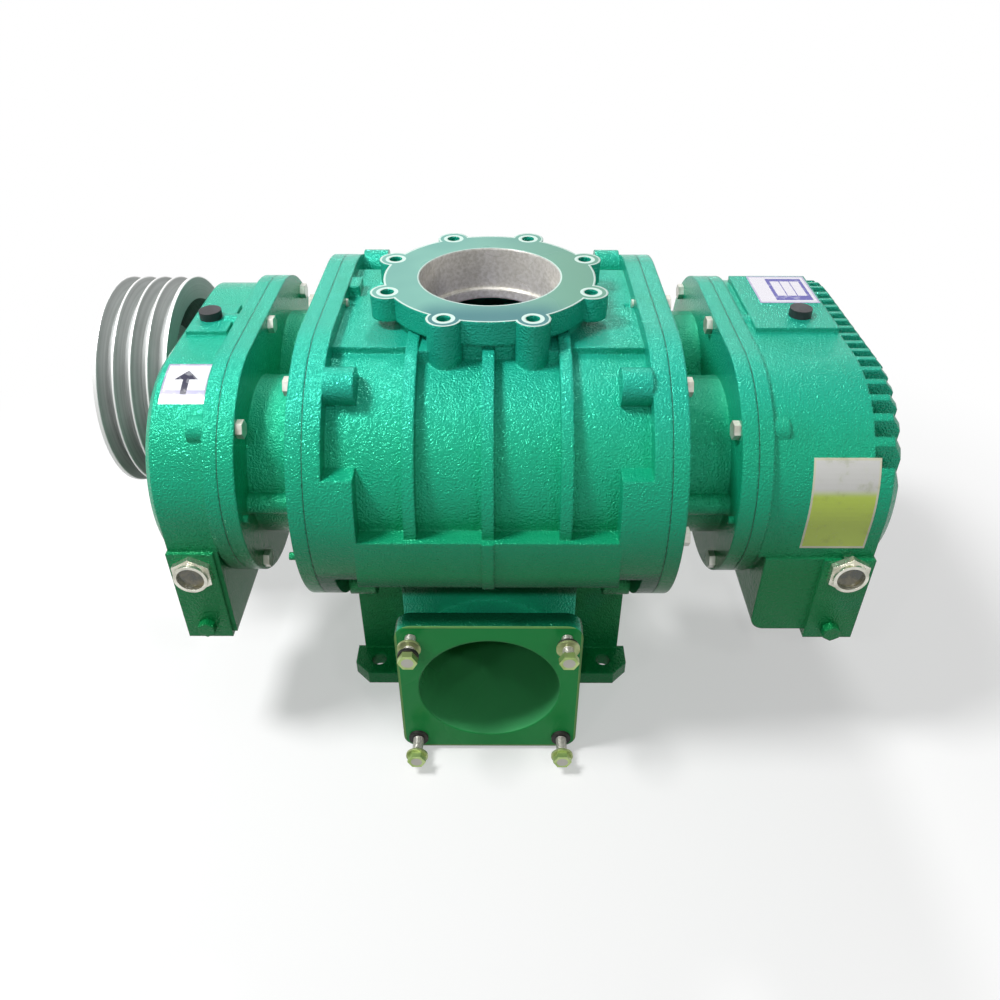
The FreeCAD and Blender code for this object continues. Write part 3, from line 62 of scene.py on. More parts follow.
camera_data = bpy.data.cameras.new("camera")
camera_data.sensor_width = SENSOR_WIDTH
camera_data.lens = SENSOR_WIDTH * FOCAL_PIXELS / FRAME_PIXELS
camera_data.shift_x = (FRAME_PIXELS / 2 - PRINCIPAL_POINT[0]) / FRAME_PIXELS
camera_data.shift_y = (PRINCIPAL_POINT[1] - FRAME_PIXELS / 2) / FRAME_PIXELS
camera_data.clip_start = CLIP_START
camera = bpy.data.objects.new("camera", camera_data)
camera.location = CAMERA_PLACE
camera.rotation_euler = [math.radians(angle) for angle in (90 - LOOK_DOWN, ROLL, HEADING)]
scene.collection.objects.link(camera)
scene.camera = camera


# Floor: a pale, matt studio floor that keeps the pump's shadow. Away from the pump it fades to
# the white of the background, sooner to the front and back than along the pump.

FLOOR_HALF = 6.0
FLOOR_DROP = 0.0005
FLOOR_ROUGHNESS = 0.9
FLOOR_GREY = (0.55, 0.55, 0.55)
FLOOR_GREY_BOUNCED = (0.16, 0.16, 0.16)
FLOOR_GLOW = 0.42
FADE = (0.50, 0.95)
FADE_ALONG = 0.8
BLACK = (0.0, 0.0, 0.0)
WHITE = (1.0, 1.0, 1.0)


class Shade:
    """A value or colour in a node tree. Python's operators on it add their Math nodes."""

    def __init__(self, owner, socket):
        self.owner = owner
        self.socket = socket

    def of(self, operation, other=None):
        return self.owner.math(operation, self, other)

    def __add__(self, other):
        return self.of("ADD", other)

    def __mul__(self, other):
        return self.of("MULTIPLY", other)

    __radd__ = __add__
    __rmul__ = __mul__

    def __sub__(self, other):
        return self.of("SUBTRACT", other)

    def __rsub__(self, other):
        return self.owner.math("SUBTRACT", other, self)

    def __truediv__(self, other):
        return self.of("DIVIDE", other)

    def __pow__(self, other):
        return self.of("POWER", other)

    def __abs__(self):
        return self.of("ABSOLUTE")

    def __gt__(self, other):
        return self.of("GREATER_THAN", other)

    def __lt__(self, other):
        return self.of("LESS_THAN", other)

    def at_least(self, other):
        return self.of("MAXIMUM", other)


class NodeTree:
    """The nodes of a material or the world, added by short calls."""

    def __init__(self, tree):
        self.tree = tree

    def feed(self, socket, value):
        """Links the socket to a Shade, or gives it a plain value."""
        if isinstance(value, Shade):
            self.tree.links.new(value.socket, socket)
        elif hasattr(value, "__len__") and len(value) == 3 and len(socket.default_value) == 4:
            socket.default_value = (*value, 1.0)
        else:
            socket.default_value = value

    def node(self, kind, settings=None, values=None, out=0):
        """A node of that kind: its settings, then its sockets' values or links by name or place."""
        node = self.tree.nodes.new(kind)
        for name, value in (settings or {}).items():
            setattr(node, name, value)
        for name, value in (values or {}).items():
            self.feed(node.inputs[name], value)
        return Shade(self, node.outputs[out])

    def math(self, operation, first, second=None):
        values = {0: first} if second is None else {0: first, 1: second}
        return self.node("ShaderNodeMath", {"operation": operation}, values)

    def mix(self, amount, first, second):
        """The colour between first and second by amount, on the Mix node's colour sockets."""
        return self.node("ShaderNodeMix", {"data_type": "RGBA"},
                         {0: amount, 6: first, 7: second}, out=2)

    def ray(self, *kinds):
        """1 on rays of any of those kinds."""
        found = 0.0
        for kind in kinds:
            found = self.node("ShaderNodeLightPath", out=f"Is {kind} Ray").at_least(found)
        return found


class Finish(NodeTree):
    """A material with one Principled shader, whose patterns follow Object coordinates."""

    def __init__(self, name):
        self.data = bpy.data.materials.new(name)
        self.data.use_nodes = True
        super().__init__(self.data.node_tree)
        self.place = self.node("ShaderNodeTexCoord", out="Object")
        self.x, self.y, self.z = self.parts(self.place)

    def parts(self, vector):
        split = self.node("ShaderNodeSeparateXYZ", values={0: vector}).socket.node
        return [Shade(self, socket) for socket in split.outputs]

    def noise(self, scale, detail, roughness=0.5):
        return self.node("ShaderNodeTexNoise", values={
            "Vector": self.place, "Scale": scale, "Detail": detail, "Roughness": roughness})

    def ramp(self, value, low, high):
        """A smooth step from 0 at low to 1 at high."""
        return self.node("ShaderNodeMapRange", {"interpolation_type": "SMOOTHSTEP"}, {
            "Value": value, "From Min": low, "From Max": high, "To Min": 0.0, "To Max": 1.0})

    def patches(self, scale, detail, low, high, roughness=0.5):
        """Soft patches: 0 where a noise is under low, and 1 where it is over high."""
        return self.ramp(self.noise(scale, detail, roughness), low, high)

    def rounded(self, radius):
        """The surface's direction with its edges rounded over by that radius."""
        return self.node("ShaderNodeBevel", {"samples": 4}, {"Radius": radius})

    def bump(self, height, distance, strength, under=None):
        values = {"Height": height, "Distance": distance, "Strength": strength}
        if under is not None:
            values["Normal"] = under
        return self.node("ShaderNodeBump", values=values)

    def set(self, **inputs):
        shader = self.tree.nodes["Principled BSDF"]
        for name, value in inputs.items():
            self.feed(shader.inputs[name.replace("_", " ")], value)
        return self.data


def span(first, second):
    """How far a place is from a centre or an axis, from its two offsets."""
    return (first * first + second * second) ** 0.5


floor_mesh = bpy.data.meshes.new("studio_floor")
floor_corners = [(-FLOOR_HALF, -FLOOR_HALF, 0), (FLOOR_HALF, -FLOOR_HALF, 0),
                 (FLOOR_HALF, FLOOR_HALF, 0), (-FLOOR_HALF, FLOOR_HALF, 0)]
floor_mesh.from_pydata(floor_corners, [], [(0, 1, 2, 3)])
floor = bpy.data.objects.new("studio_floor", floor_mesh)
floor.location = (0, 0, cad_box[0][2] - FLOOR_DROP)
scene.collection.objects.link(floor)

pale = Finish("studio_floor")
seen = pale.ray("Camera", "Glossy", "Transmission")
away = pale.ramp(span(pale.x * FADE_ALONG, pale.y), *FADE)
glow = seen * (FLOOR_GLOW + (1.0 - FLOOR_GLOW) * away)
lit = pale.mix(pale.ray("Diffuse"), FLOOR_GREY, FLOOR_GREY_BOUNCED)
floor_mesh.materials.append(pale.set(
    Base_Color=pale.mix(seen * away, lit, BLACK), Roughness=FLOOR_ROUGHNESS,
    Specular_IOR_Level=0.0, Emission_Color=pale.mix(glow, BLACK, WHITE), Emission_Strength=1.0))


# Lamps: one high at the left and one high behind give most of the light. Three small ones in
# front glint in the enamel, and faint ones fill in from both sides. The surroundings give a
# little light from everywhere, and are plain white where they are seen or mirrored.

LAMPS = (
    ("above", (-1.15, -0.30, 2.3), 0.6, 52.0),
    ("front_left", (-0.95, -1.75, 1.85), 0.13, 3.0),
    ("front_middle", (-0.20, -1.80, 1.95), 0.13, 3.8),
    ("front_right", (0.90, -1.60, 1.95), 0.13, 3.0),
    ("left", (-2.3, -0.4, 0.9), 1.2, 3.0),
    ("right", (2.3, -0.7, 1.0), 1.2, 4.0),
    ("back", (0.1, 2.0, 2.6), 0.4, 32.0),
)
LAMP_AIM = Vector((0, 0, 0.25))
WORLD_LIGHT = 0.11

for name, place, size, power in LAMPS:
    lamp_data = bpy.data.lights.new("lamp_" + name, "AREA")
    lamp_data.shape = "DISK"
    lamp_data.size = size
    lamp_data.energy = power
    lamp = bpy.data.objects.new("lamp_" + name, lamp_data)
    lamp.location = place
    lamp.rotation_euler = (LAMP_AIM - Vector(place)).to_track_quat("-Z", "Y").to_euler()
    scene.collection.objects.link(lamp)

world = bpy.data.worlds.new("studio")
scene.world = world
world.use_nodes = True
sky = NodeTree(world.node_tree)
faint = world.node_tree.nodes["Background"]
sky.feed(faint.inputs["Color"], WHITE)
sky.feed(faint.inputs["Strength"], WORLD_LIGHT)
white = sky.node("ShaderNodeBackground", values={"Color": WHITE, "Strength": 1.0})
seen = sky.ray("Camera", "Transmission", "Glossy")
backdrop = sky.node("ShaderNodeMixShader",
                    values={0: seen, 1: Shade(sky, faint.outputs[0]), 2: white})
sky.feed(world.node_tree.nodes["World Output"].inputs["Surface"], backdrop)


# Iron castings: the casing, both end plates and both covers are grey iron, sprayed with a thick
# green hammer enamel that rounds their edges and glints from its dimples. The enamel's colour
# carries painted light and shade: bluer on top for a cool light from above, and darker and
# yellower low down. The casing's inlet and outlet faces are machined and coated smoothly. On the
# casing, painted shade darkens the block under the barrel and painted light brightens the
# outlet's trunk. The inlet's face carries a painted reflection, and both faces have bright rims
# that are bare edges with a painted highlight.

ENAMEL = (0.009, 0.425, 0.235)
# Painted light and shade: the top colour is bluer for a cool light from above, and the low colour
# darker and yellower for the shade low down.
ENAMEL_SKY_LIT_TOP = (0.014, 0.420, 0.300)
ENAMEL_LOW_SHADE = (0.004, 0.240, 0.068)
ENAMEL_WORN = (0.008, 0.300, 0.160)
SKY_LIT_HEIGHTS = (0.38, 0.46)
LOW_SHADE_HEIGHTS = (0.37, 0.24)
WORN_PATCHES = (14.0, 4.0, 0.52, 0.75)
WORN_SHARE = 0.30
ENAMEL_ROUGHNESS = 0.13
ENAMEL_SPECULAR = 0.17
FLAKE_METAL = 0.24
DIMPLE_SCALE = 520.0
DIMPLE_DEPTH = 0.0017
DIMPLE_STRENGTH = 0.85
DIMPLE_ROUGHNESS = 0.05
DIMPLE_RANGE = (0.3, 0.7)
CASTING_EDGE = 0.0034

# Painted shade: the block under the barrel is given a darker green where its shade falls.
BLOCK_FRONT = (-0.15, -0.17)
BLOCK_TOP = (0.275, 0.255)
BLOCK_BOTTOM = (0.195, 0.205)
BLOCK_SHADE_GREEN = (0.002, 0.085, 0.036)
BLOCK_SHADE_SHARE = 0.8
# Painted light: the outlet's trunk under the block is given a lighter green for light falling on
# it.
TRUNK_FRONT = (-0.09, -0.12)
TRUNK_TOP = (0.205, 0.195)
TRUNK_BOTTOM = (0.02, 0.04)
TRUNK_HALF = 0.096
TRUNK_LIT_GREEN = (0.030, 0.620, 0.380)
TRUNK_LIGHT_SHARE = 0.9

INLET_FACE = 0.488
INLET_BORE = 0.075
INLET_BORE_END = 0.39
INLET_DISC = 0.112
INLET_LOBE_CIRCLE = 0.1125
INLET_LOBE = 0.0175
INLET_LOBE_STEP = math.pi / 4
INLET_HOLE_RIM = 0.01125
INLET_OUTER_RIM = 0.0022
INLET_BORE_RIM = 0.0016
INLET_FACE_SLOPE = 0.9
# Painted reflection: the inlet's face is paler at the left and darker at the right and front, for
# the surroundings it mirrors. Its random clouds share the darker colour.
LACQUER_REFLECTION_LEFT = (0.17, 0.40, 0.33)
LACQUER_REFLECTION_RIGHT = (0.12, 0.29, 0.21)
LACQUER_CLOUD_AND_DIM_REFLECTION = (0.04, 0.17, 0.18)
# The inlet's rims are bare machined edges, made paler still as a painted highlight.
LACQUER_RIM_HIGHLIGHT = (0.52, 0.68, 0.62)
REFLECTION_CHANGE = (-0.06, 0.12)
CLOUDS = (9.0, 2.0, 0.35, 0.65)
CLOUD_SHARE = 0.3
CLOUD_ROUGHNESS = 0.12
DIM_REFLECTION_DEPTHS = (-0.05, -0.10)
DIM_REFLECTION_SIDES = (0.09, 0.05)
BARE_IRON_DARK = (0.66, 0.64, 0.58)
BARE_IRON = (0.90, 0.88, 0.84)
BARE_IRON_METAL = 0.35
BARE_IRON_GRAIN = (260.0, 3.0, 0.25, 0.75)

OUTLET_FACE = -0.235
OUTLET_HEIGHT = 0.104
OUTLET_HALF = 0.099
OUTLET_RIM = 0.0025
OUTLET_BORE = 0.0775
OUTLET_BORE_END = 0.082
OUTLET_FILM = (0.022, 0.440, 0.100)
# The outlet's face has a brighter rim at its machined edge, as a painted highlight.
OUTLET_RIM_HIGHLIGHT = (0.24, 0.56, 0.16)
OUTLET_BORE_GREEN = (0.075, 0.450, 0.160)

SMOOTH_ROUGHNESS = 0.25
SMOOTH_STRENGTH = 0.03
FACE_SKIN, SIDE_SKIN, BORE_SKIN = 0.0008, 0.001, 0.0012


def blend(amount, first, second):
    """A number between first and second by amount."""
    return first * (1.0 - amount) + amount * second


def inlet_marks(finish):
    """The inlet's face with its eight lobes, its bright rims, which are bare edges with a
    painted highlight, and its bare bore, as amounts.
    """
    x, y, z = finish.x, finish.y, finish.z
    upward = finish.parts(finish.node("ShaderNodeNewGeometry", out="Normal"))[2]
    radius = span(x, y)
    turn = y.of("ARCTAN2", x).of("FLOORED_MODULO", INLET_LOBE_STEP) - INLET_LOBE_STEP / 2
    lobe = span(radius * turn.of("COSINE") - INLET_LOBE_CIRCLE, radius * turn.of("SINE"))
    depth = (INLET_DISC - radius).at_least(INLET_LOBE - lobe)
    face = (z > INLET_FACE - FACE_SKIN) * (upward > INLET_FACE_SLOPE)
    rim = (depth < INLET_OUTER_RIM).at_least(lobe < INLET_HOLE_RIM)
    rim = rim.at_least(radius < INLET_BORE + INLET_BORE_RIM)
    bore = (radius < INLET_BORE + BORE_SKIN) * (z > INLET_BORE_END) * (1.0 - face)
    return face, face * rim, bore


def outlet_marks(finish):
    """The outlet's face, its bright rim, a machined edge with a painted highlight, and the
    inside of its bore, as amounts.
    """
    x, y, height = finish.x, finish.y, finish.z - OUTLET_HEIGHT
    reach = abs(x).at_least(abs(height))
    face = (y < OUTLET_FACE + FACE_SKIN) * (reach < OUTLET_HALF + SIDE_SKIN)
    rim = reach > OUTLET_HALF - OUTLET_RIM
    bore = (span(x, height) < OUTLET_BORE + BORE_SKIN) * (y < OUTLET_BORE_END) * (1.0 - face)
    return face, face * rim, bore


def casing_places(finish, colour, rough):
    """The casing's own places on the enamel: the block under the barrel, darkened as painted
    shade, the outlet's trunk, lightened as painted light, and the faces and bores of inlet and
    outlet, with a painted reflection on the inlet's face and bright rims that are bare edges with
    a painted highlight. It gives the colour, roughness and metal share with them, and the smooth
    places, which have no dimples."""
    block_shade = (finish.ramp(finish.y, *BLOCK_FRONT) * finish.ramp(finish.z, *BLOCK_TOP)
             * finish.ramp(finish.z, *BLOCK_BOTTOM))
    trunk_light = (finish.ramp(finish.y, *TRUNK_FRONT) * finish.ramp(finish.z, *TRUNK_TOP)
             * finish.ramp(finish.z, *TRUNK_BOTTOM) * (abs(finish.x) < TRUNK_HALF))
    # Painted shade on the block under the barrel.
    colour = finish.mix(block_shade * BLOCK_SHADE_SHARE, colour, BLOCK_SHADE_GREEN)
    # Painted light on the outlet's trunk.
    colour = finish.mix(trunk_light * TRUNK_LIGHT_SHARE, colour, TRUNK_LIT_GREEN)

    inlet, inlet_rim_highlight, inlet_bore = inlet_marks(finish)
    cloud = finish.patches(*CLOUDS)
    # Painted reflection on the inlet's face: paler at the left, darker at the right and front, with
    # random clouds.
    front = (finish.ramp(finish.y, *DIM_REFLECTION_DEPTHS)
             * finish.ramp(abs(finish.x), *DIM_REFLECTION_SIDES))
    lacquer_and_reflection = finish.mix(finish.ramp(finish.x, *REFLECTION_CHANGE), LACQUER_REFLECTION_LEFT, LACQUER_REFLECTION_RIGHT)
    lacquer_and_reflection = finish.mix((cloud * CLOUD_SHARE).at_least(front), lacquer_and_reflection, LACQUER_CLOUD_AND_DIM_REFLECTION)
    # Bright rims: bare edges with a painted highlight.
    lacquer_and_reflection = finish.mix(inlet_rim_highlight, lacquer_and_reflection, LACQUER_RIM_HIGHLIGHT)
    iron = finish.mix(finish.patches(*BARE_IRON_GRAIN), BARE_IRON_DARK, BARE_IRON)
    colour = finish.mix(inlet, colour, lacquer_and_reflection)
    colour = finish.mix(inlet_bore, colour, iron)

    outlet, outlet_rim_highlight, outlet_bore = outlet_marks(finish)
    # Bright rim: the machined edge with a painted highlight.
    colour = finish.mix(outlet, colour, finish.mix(outlet_rim_highlight, OUTLET_FILM, OUTLET_RIM_HIGHLIGHT))
    colour = finish.mix(outlet_bore, colour, OUTLET_BORE_GREEN)

    smooth = inlet.at_least(inlet_bore).at_least(outlet).at_least(outlet_bore)
    rough = blend(smooth, rough, SMOOTH_ROUGHNESS + CLOUD_ROUGHNESS * cloud)
    metal = blend(smooth, FLAKE_METAL, BARE_IRON_METAL * inlet_bore)
    return colour, rough, metal, smooth


def enamel(name, casing=False):
    """The sprayed enamel, bluer on top and darker and yellower low down as painted light and
    shade, and on the casing its machined and coated places and more painted light and shade.
    """
    finish = Finish(name)
    dimples = finish.noise(DIMPLE_SCALE, 1.0)
    worn = finish.patches(*WORN_PATCHES)
    # Painted light and shade: bluer on top, darker and yellower low down.
    colour = finish.mix(finish.ramp(finish.z, *SKY_LIT_HEIGHTS), ENAMEL, ENAMEL_SKY_LIT_TOP)
    colour = finish.mix(finish.ramp(finish.z, *LOW_SHADE_HEIGHTS), colour, ENAMEL_LOW_SHADE)
    colour = finish.mix(worn * WORN_SHARE, colour, ENAMEL_WORN)
    rough = ENAMEL_ROUGHNESS + DIMPLE_ROUGHNESS * finish.ramp(dimples, *DIMPLE_RANGE)
    metal, strength = FLAKE_METAL, DIMPLE_STRENGTH
    if casing:
        colour, rough, metal, smooth = casing_places(finish, colour, rough)
        strength = blend(smooth, DIMPLE_STRENGTH, SMOOTH_STRENGTH)
    surface = finish.bump(dimples, DIMPLE_DEPTH, strength, finish.rounded(CASTING_EDGE))
    return finish.set(Base_Color=colour, Roughness=rough, Metallic=metal, Normal=surface,
                      Specular_IOR_Level=ENAMEL_SPECULAR)


def paint(material, *labels):
    """Puts the material on every material slot of those CAD nodes."""
    for label in labels:
        for slot in nodes[label].material_slots:
            slot.material = material


plain_enamel = enamel("green_enamel")
paint(enamel("green_enamel_machined", casing=True), "casing")
paint(plain_enamel, "pulley_end_plate", "gear_end_plate", "pulley_end_cover", "gear_end_cover")


# Belt pulley: grey cast iron with four turned V grooves, held on the shaft by a taper bush. The
# groove walls are dull, and the ridges between them are bright from the lathe.

PULLEY_AXIS = (0.08, 0.314)
PULLEY_RIM = 0.126
RIDGE_DEPTHS = (0.0016, 0.0004)
RIDGE_BRIGHT = (0.80, 0.80, 0.79)
WALL_DARK = (0.38, 0.40, 0.39)
WALL_LIGHT = (0.52, 0.54, 0.53)
PULLEY_EDGE = 0.0008
STREAK_SCALE, STREAK_DETAIL = 420.0, 5.0
DULL_PATCHES = (25.0, 4.0, 0.3, 0.7)
GRAIN_DEPTH = 0.0002

pulley_iron = Finish("turned_pulley_iron")
radius = span(pulley_iron.y - PULLEY_AXIS[0], pulley_iron.z - PULLEY_AXIS[1])
ridge = pulley_iron.ramp(radius, *(PULLEY_RIM - depth for depth in RIDGE_DEPTHS))
streaks = pulley_iron.node("ShaderNodeTexNoise", {"noise_dimensions": "1D"},
                           {"W": radius + pulley_iron.x, "Scale": STREAK_SCALE,
                            "Detail": STREAK_DETAIL})
dull = pulley_iron.patches(*DULL_PATCHES)
turned = pulley_iron.ramp(streaks, 0.35, 0.65) * 0.7 + dull * 0.3
pulley_iron.set(
    Base_Color=pulley_iron.mix(ridge, pulley_iron.mix(turned, WALL_DARK, WALL_LIGHT), RIDGE_BRIGHT),
    Metallic=0.10 + ridge * 0.4,
    Roughness=0.50 - ridge * 0.15 + 0.1 * pulley_iron.ramp(streaks, 0.4, 0.6),
    Normal=pulley_iron.bump(streaks, GRAIN_DEPTH, 0.4, pulley_iron.rounded(PULLEY_EDGE)))
paint(pulley_iron.data, "pulley")


# Steel fasteners: zinc-plated hexagon bolts hold the end plates and covers, over dowels that are
# painted with them. The outlet's bolts are yellow zinc with threaded shanks, half unscrewed, and
# carry yellow flat washers and black spring washers.

ZINC, ZINC_STAIN = (0.74, 0.73, 0.68), (0.46, 0.45, 0.38)
BOLT_YELLOW, BOLT_YELLOW_STAIN = (0.50, 0.62, 0.26), (0.32, 0.46, 0.14)
WASHER_YELLOW, WASHER_YELLOW_STAIN = (0.50, 0.56, 0.28), (0.30, 0.38, 0.14)
SPRING_BLACK, SPRING_BLACK_STAIN = (0.018, 0.018, 0.018), (0.05, 0.045, 0.04)
STAINS = (60.0, 4.0, 0.35, 0.7)
STAIN_ROUGHNESS = 0.2
STEEL_EDGE = 0.0006
STEEL_GRAIN = 420.0
OUTLET_BOLT_OFFSET = 0.082
OUTLET_SHANK = 0.0063
THREAD_PITCH = 0.00175
THREAD_DEPTH = 0.0008
# Painted light and shade on the threads: dark roots and pale crests.
THREAD_ROOT_SHADE = (0.12, 0.11, 0.09)
THREAD_CREST_HIGHLIGHT = (0.78, 0.77, 0.70)


def steel(name, colour, stained, rough=0.3, metal=0.9, grain=STEEL_GRAIN):
    """Plated or bare steel: its colour, its colour where it is stained, and its grain."""
    finish = Finish(name)
    stain = finish.patches(*STAINS)
    surface = finish.bump(finish.noise(grain, 2.0), GRAIN_DEPTH, 0.4, finish.rounded(STEEL_EDGE))
    return finish.set(Base_Color=finish.mix(stain, colour, stained), Metallic=metal,
                      Roughness=rough + STAIN_ROUGHNESS * stain, Normal=surface)


def threaded_steel(name, colour, stained):
    """The plating of the outlet's bolts, with a thread cut round each shank. The thread's dark
    roots are painted shade and its pale crests a painted highlight.
    """
    finish = Finish(name)
    shank = span(abs(finish.x) - OUTLET_BOLT_OFFSET,
                 abs(finish.z - OUTLET_HEIGHT) - OUTLET_BOLT_OFFSET) < OUTLET_SHANK
    wave = (finish.y / THREAD_PITCH * (2 * math.pi)).of("SINE") * 0.5 + 0.5
    stain = finish.patches(*STAINS)
    head = finish.mix(stain, colour, stained)
    # Painted shade in the thread's roots and painted highlight on its crests.
    thread = finish.mix(wave, THREAD_ROOT_SHADE, THREAD_CREST_HIGHLIGHT)
    surface = finish.bump(wave * shank, THREAD_DEPTH, 0.6, finish.rounded(STEEL_EDGE))
    return finish.set(Base_Color=finish.mix(shank, head, thread), Metallic=0.75,
                      Roughness=0.28 + STAIN_ROUGHNESS * stain, Normal=surface)


paint(steel("zinc_plate", ZINC, ZINC_STAIN, metal=0.6), "end_plate_bolts", "cover_bolts")
paint(plain_enamel, "dowel_pins")
paint(threaded_steel("yellow_zinc_bolts", BOLT_YELLOW, BOLT_YELLOW_STAIN), "outlet_bolts")
paint(steel("yellow_zinc_washers", WASHER_YELLOW, WASHER_YELLOW_STAIN, metal=0.6),
      "outlet_flat_washers")
paint(steel("black_spring_steel", SPRING_BLACK, SPRING_BLACK_STAIN, 0.45, 0.4),
      "outlet_spring_washers")


# Sight glasses: a nickel-plated hexagonal collar, screwed into each sump, holds a thick glass
# lens with oil behind it. The drain plugs below them are painted over with the covers.

NICKEL, NICKEL_STAIN = (0.76, 0.75, 0.66), (0.50, 0.50, 0.42)
OIL_DARK, OIL_LIGHT = (0.030, 0.045, 0.012), (0.20, 0.17, 0.06)
NICKEL_GRAIN = 300.0
OIL_SWIRLS = (90.0, 3.0, 0.35, 0.65)
LENS_DEPTH = 0.0004

nickel = steel("nickel_plate", NICKEL, NICKEL_STAIN, 0.20, grain=NICKEL_GRAIN)
lens = Finish("oil_lens")
swirl = lens.patches(*OIL_SWIRLS)
lens.set(Base_Color=lens.mix(swirl, OIL_DARK, OIL_LIGHT), Roughness=0.12, Coat_Weight=0.8,
         Coat_Roughness=0.05, Normal=lens.bump(swirl, LENS_DEPTH, 0.2))
paint(nickel, "pulley_end_sight_glass_body", "gear_end_sight_glass_body")
paint(lens.data, "pulley_end_sight_glass_lens", "gear_end_sight_glass_lens")
paint(plain_enamel, "pulley_end_drain_plug", "gear_end_drain_plug")


# Filler plugs: moulded in black nylon, with a fine grain from the mould, and screwed into the
# top of each cover after the painting.

NYLON_BLACK, NYLON_WORN = (0.008, 0.008, 0.010), (0.030, 0.030, 0.036)
NYLON_PATCHES = (40.0, 3.0, 0.4, 0.7)
NYLON_GRAIN = 700.0
NYLON_EDGE = 0.001

nylon = Finish("black_nylon")
speck = nylon.noise(NYLON_GRAIN, 2.0)
nylon.set(Base_Color=nylon.mix(nylon.patches(*NYLON_PATCHES), NYLON_BLACK, NYLON_WORN),
          Roughness=0.42 + 0.15 * nylon.ramp(speck, 0.4, 0.6),
          Normal=nylon.bump(speck, GRAIN_DEPTH, 0.5, nylon.rounded(NYLON_EDGE)))
paint(nylon.data, "pulley_end_filler_plug", "gear_end_filler_plug")


# Gaskets: sheets of dark jointing paper with coarse fibres, pressed between the castings, so
# that only their edges show as thin dark lines.

PAPER_DARK, PAPER_LIGHT = (0.008, 0.022, 0.015), (0.020, 0.045, 0.030)
FIBRE_SCALE = 600.0

paper = Finish("jointing_paper")
fibre = paper.noise(FIBRE_SCALE, 3.0)
paper.set(Base_Color=paper.mix(paper.ramp(fibre, 0.35, 0.65), PAPER_DARK, PAPER_LIGHT),
          Roughness=0.8, Normal=paper.bump(fibre, GRAIN_DEPTH, 0.4))
paint(paper.data, "pulley_end_plate_gasket", "gear_end_plate_gasket",
      "pulley_end_cover_gasket", "gear_end_cover_gasket")


# Rotors: two three-lobe castings, planed to shape and turning in mesh. They are coloured dark
# blue, and one lobe of them is seen through the inlet.

ROTOR_DARK, ROTOR_LIGHT = (0.020, 0.022, 0.085), (0.060, 0.062, 0.170)
PLANING_SCALE = 160.0
PLANING_DEPTH = 0.0003

rotor_iron = Finish("dark_blue_rotor_iron")
planed = rotor_iron.noise(PLANING_SCALE, 3.0)
rotor_iron.set(
    Base_Color=rotor_iron.mix(rotor_iron.ramp(planed, 0.2, 0.8), ROTOR_DARK, ROTOR_LIGHT),
    Metallic=0.3, Roughness=0.20 + 0.10 * rotor_iron.ramp(planed, 0.3, 0.7),
    Normal=rotor_iron.bump(planed, PLANING_DEPTH, 0.4))
paint(rotor_iron.data, "drive_rotor", "driven_rotor")


# Inner steel: the shafts, bearings, seal sleeves, slingers, nuts and circlips are ground or
# turned and bright. The timing gears and the keys are cut, and darker with oil.

BRIGHT, BRIGHT_STAIN = (0.55, 0.55, 0.56), (0.46, 0.45, 0.44)
CUT, CUT_STAIN = (0.42, 0.41, 0.40), (0.26, 0.25, 0.25)
CUT_WORDS = ("timing_gear", "_key")
BRIGHT_WORDS = ("bearing", "sleeve", "_shaft", "_nut", "slinger", "circlips")

bright = steel("oiled_steel", BRIGHT, BRIGHT_STAIN, 0.22, 1.0)
cut = steel("cut_gear_steel", CUT, CUT_STAIN, metal=1.0)
for label in nodes:
    if any(word in label for word in CUT_WORDS):
        paint(cut, label)
    elif any(word in label for word in BRIGHT_WORDS):
        paint(bright, label)


# Drive shaft's end: a moulded rubber lip seal sits in a painted retainer, which small black bolts
# hold to the cover. The taper bush is phosphated iron and clamps the pulley on the shaft.

RUBBER, RUBBER_BLOOM = (0.012, 0.012, 0.013), (0.030, 0.028, 0.026)
BLOOM_PATCHES = (200.0, 3.0, 0.4, 0.6)
RUBBER_DEPTH = 0.0001
BLACK_BOLT, BLACK_BOLT_STAIN = (0.05, 0.05, 0.055), (0.10, 0.09, 0.085)
BUSH, BUSH_STAIN = (0.30, 0.30, 0.32), (0.24, 0.235, 0.235)

rubber = Finish("seal_rubber")
bloom = rubber.patches(*BLOOM_PATCHES)
rubber.set(Base_Color=rubber.mix(bloom, RUBBER, RUBBER_BLOOM), Roughness=0.5 + 0.2 * bloom,
           Normal=rubber.bump(bloom, RUBBER_DEPTH, 0.3))
paint(rubber.data, "drive_shaft_oil_seal")
paint(plain_enamel, "oil_seal_retainer")
paint(steel("black_bolt_steel", BLACK_BOLT, BLACK_BOLT_STAIN, 0.4, 0.6),
      "oil_seal_retainer_bolts")
paint(steel("bush_iron", BUSH, BUSH_STAIN, 0.4, 0.7), "pulley_bush")


# Plates and stickers: thin sheets that are stuck on the covers and follow their curve. They are
# blank apart from their coloured fields, and the one at the pulley end carries a plain arrow.

COVER_AXIS = (-0.08, 0.314)
SHEET = 0.0004
SINK = 0.0001
ARC_STEPS = 14


def arc(radius, start, end):
    """Places (back, up) round a cover's front axis, from one angle to another, with their
    outward directions."""
    track = []
    for step in range(ARC_STEPS + 1):
        angle = math.radians(start + (end - start) * step / ARC_STEPS)
        outward = (-math.cos(angle), math.sin(angle))
        place = tuple(centre + radius * way for centre, way in zip(COVER_AXIS, outward))
        track.append((place, outward))
    return track


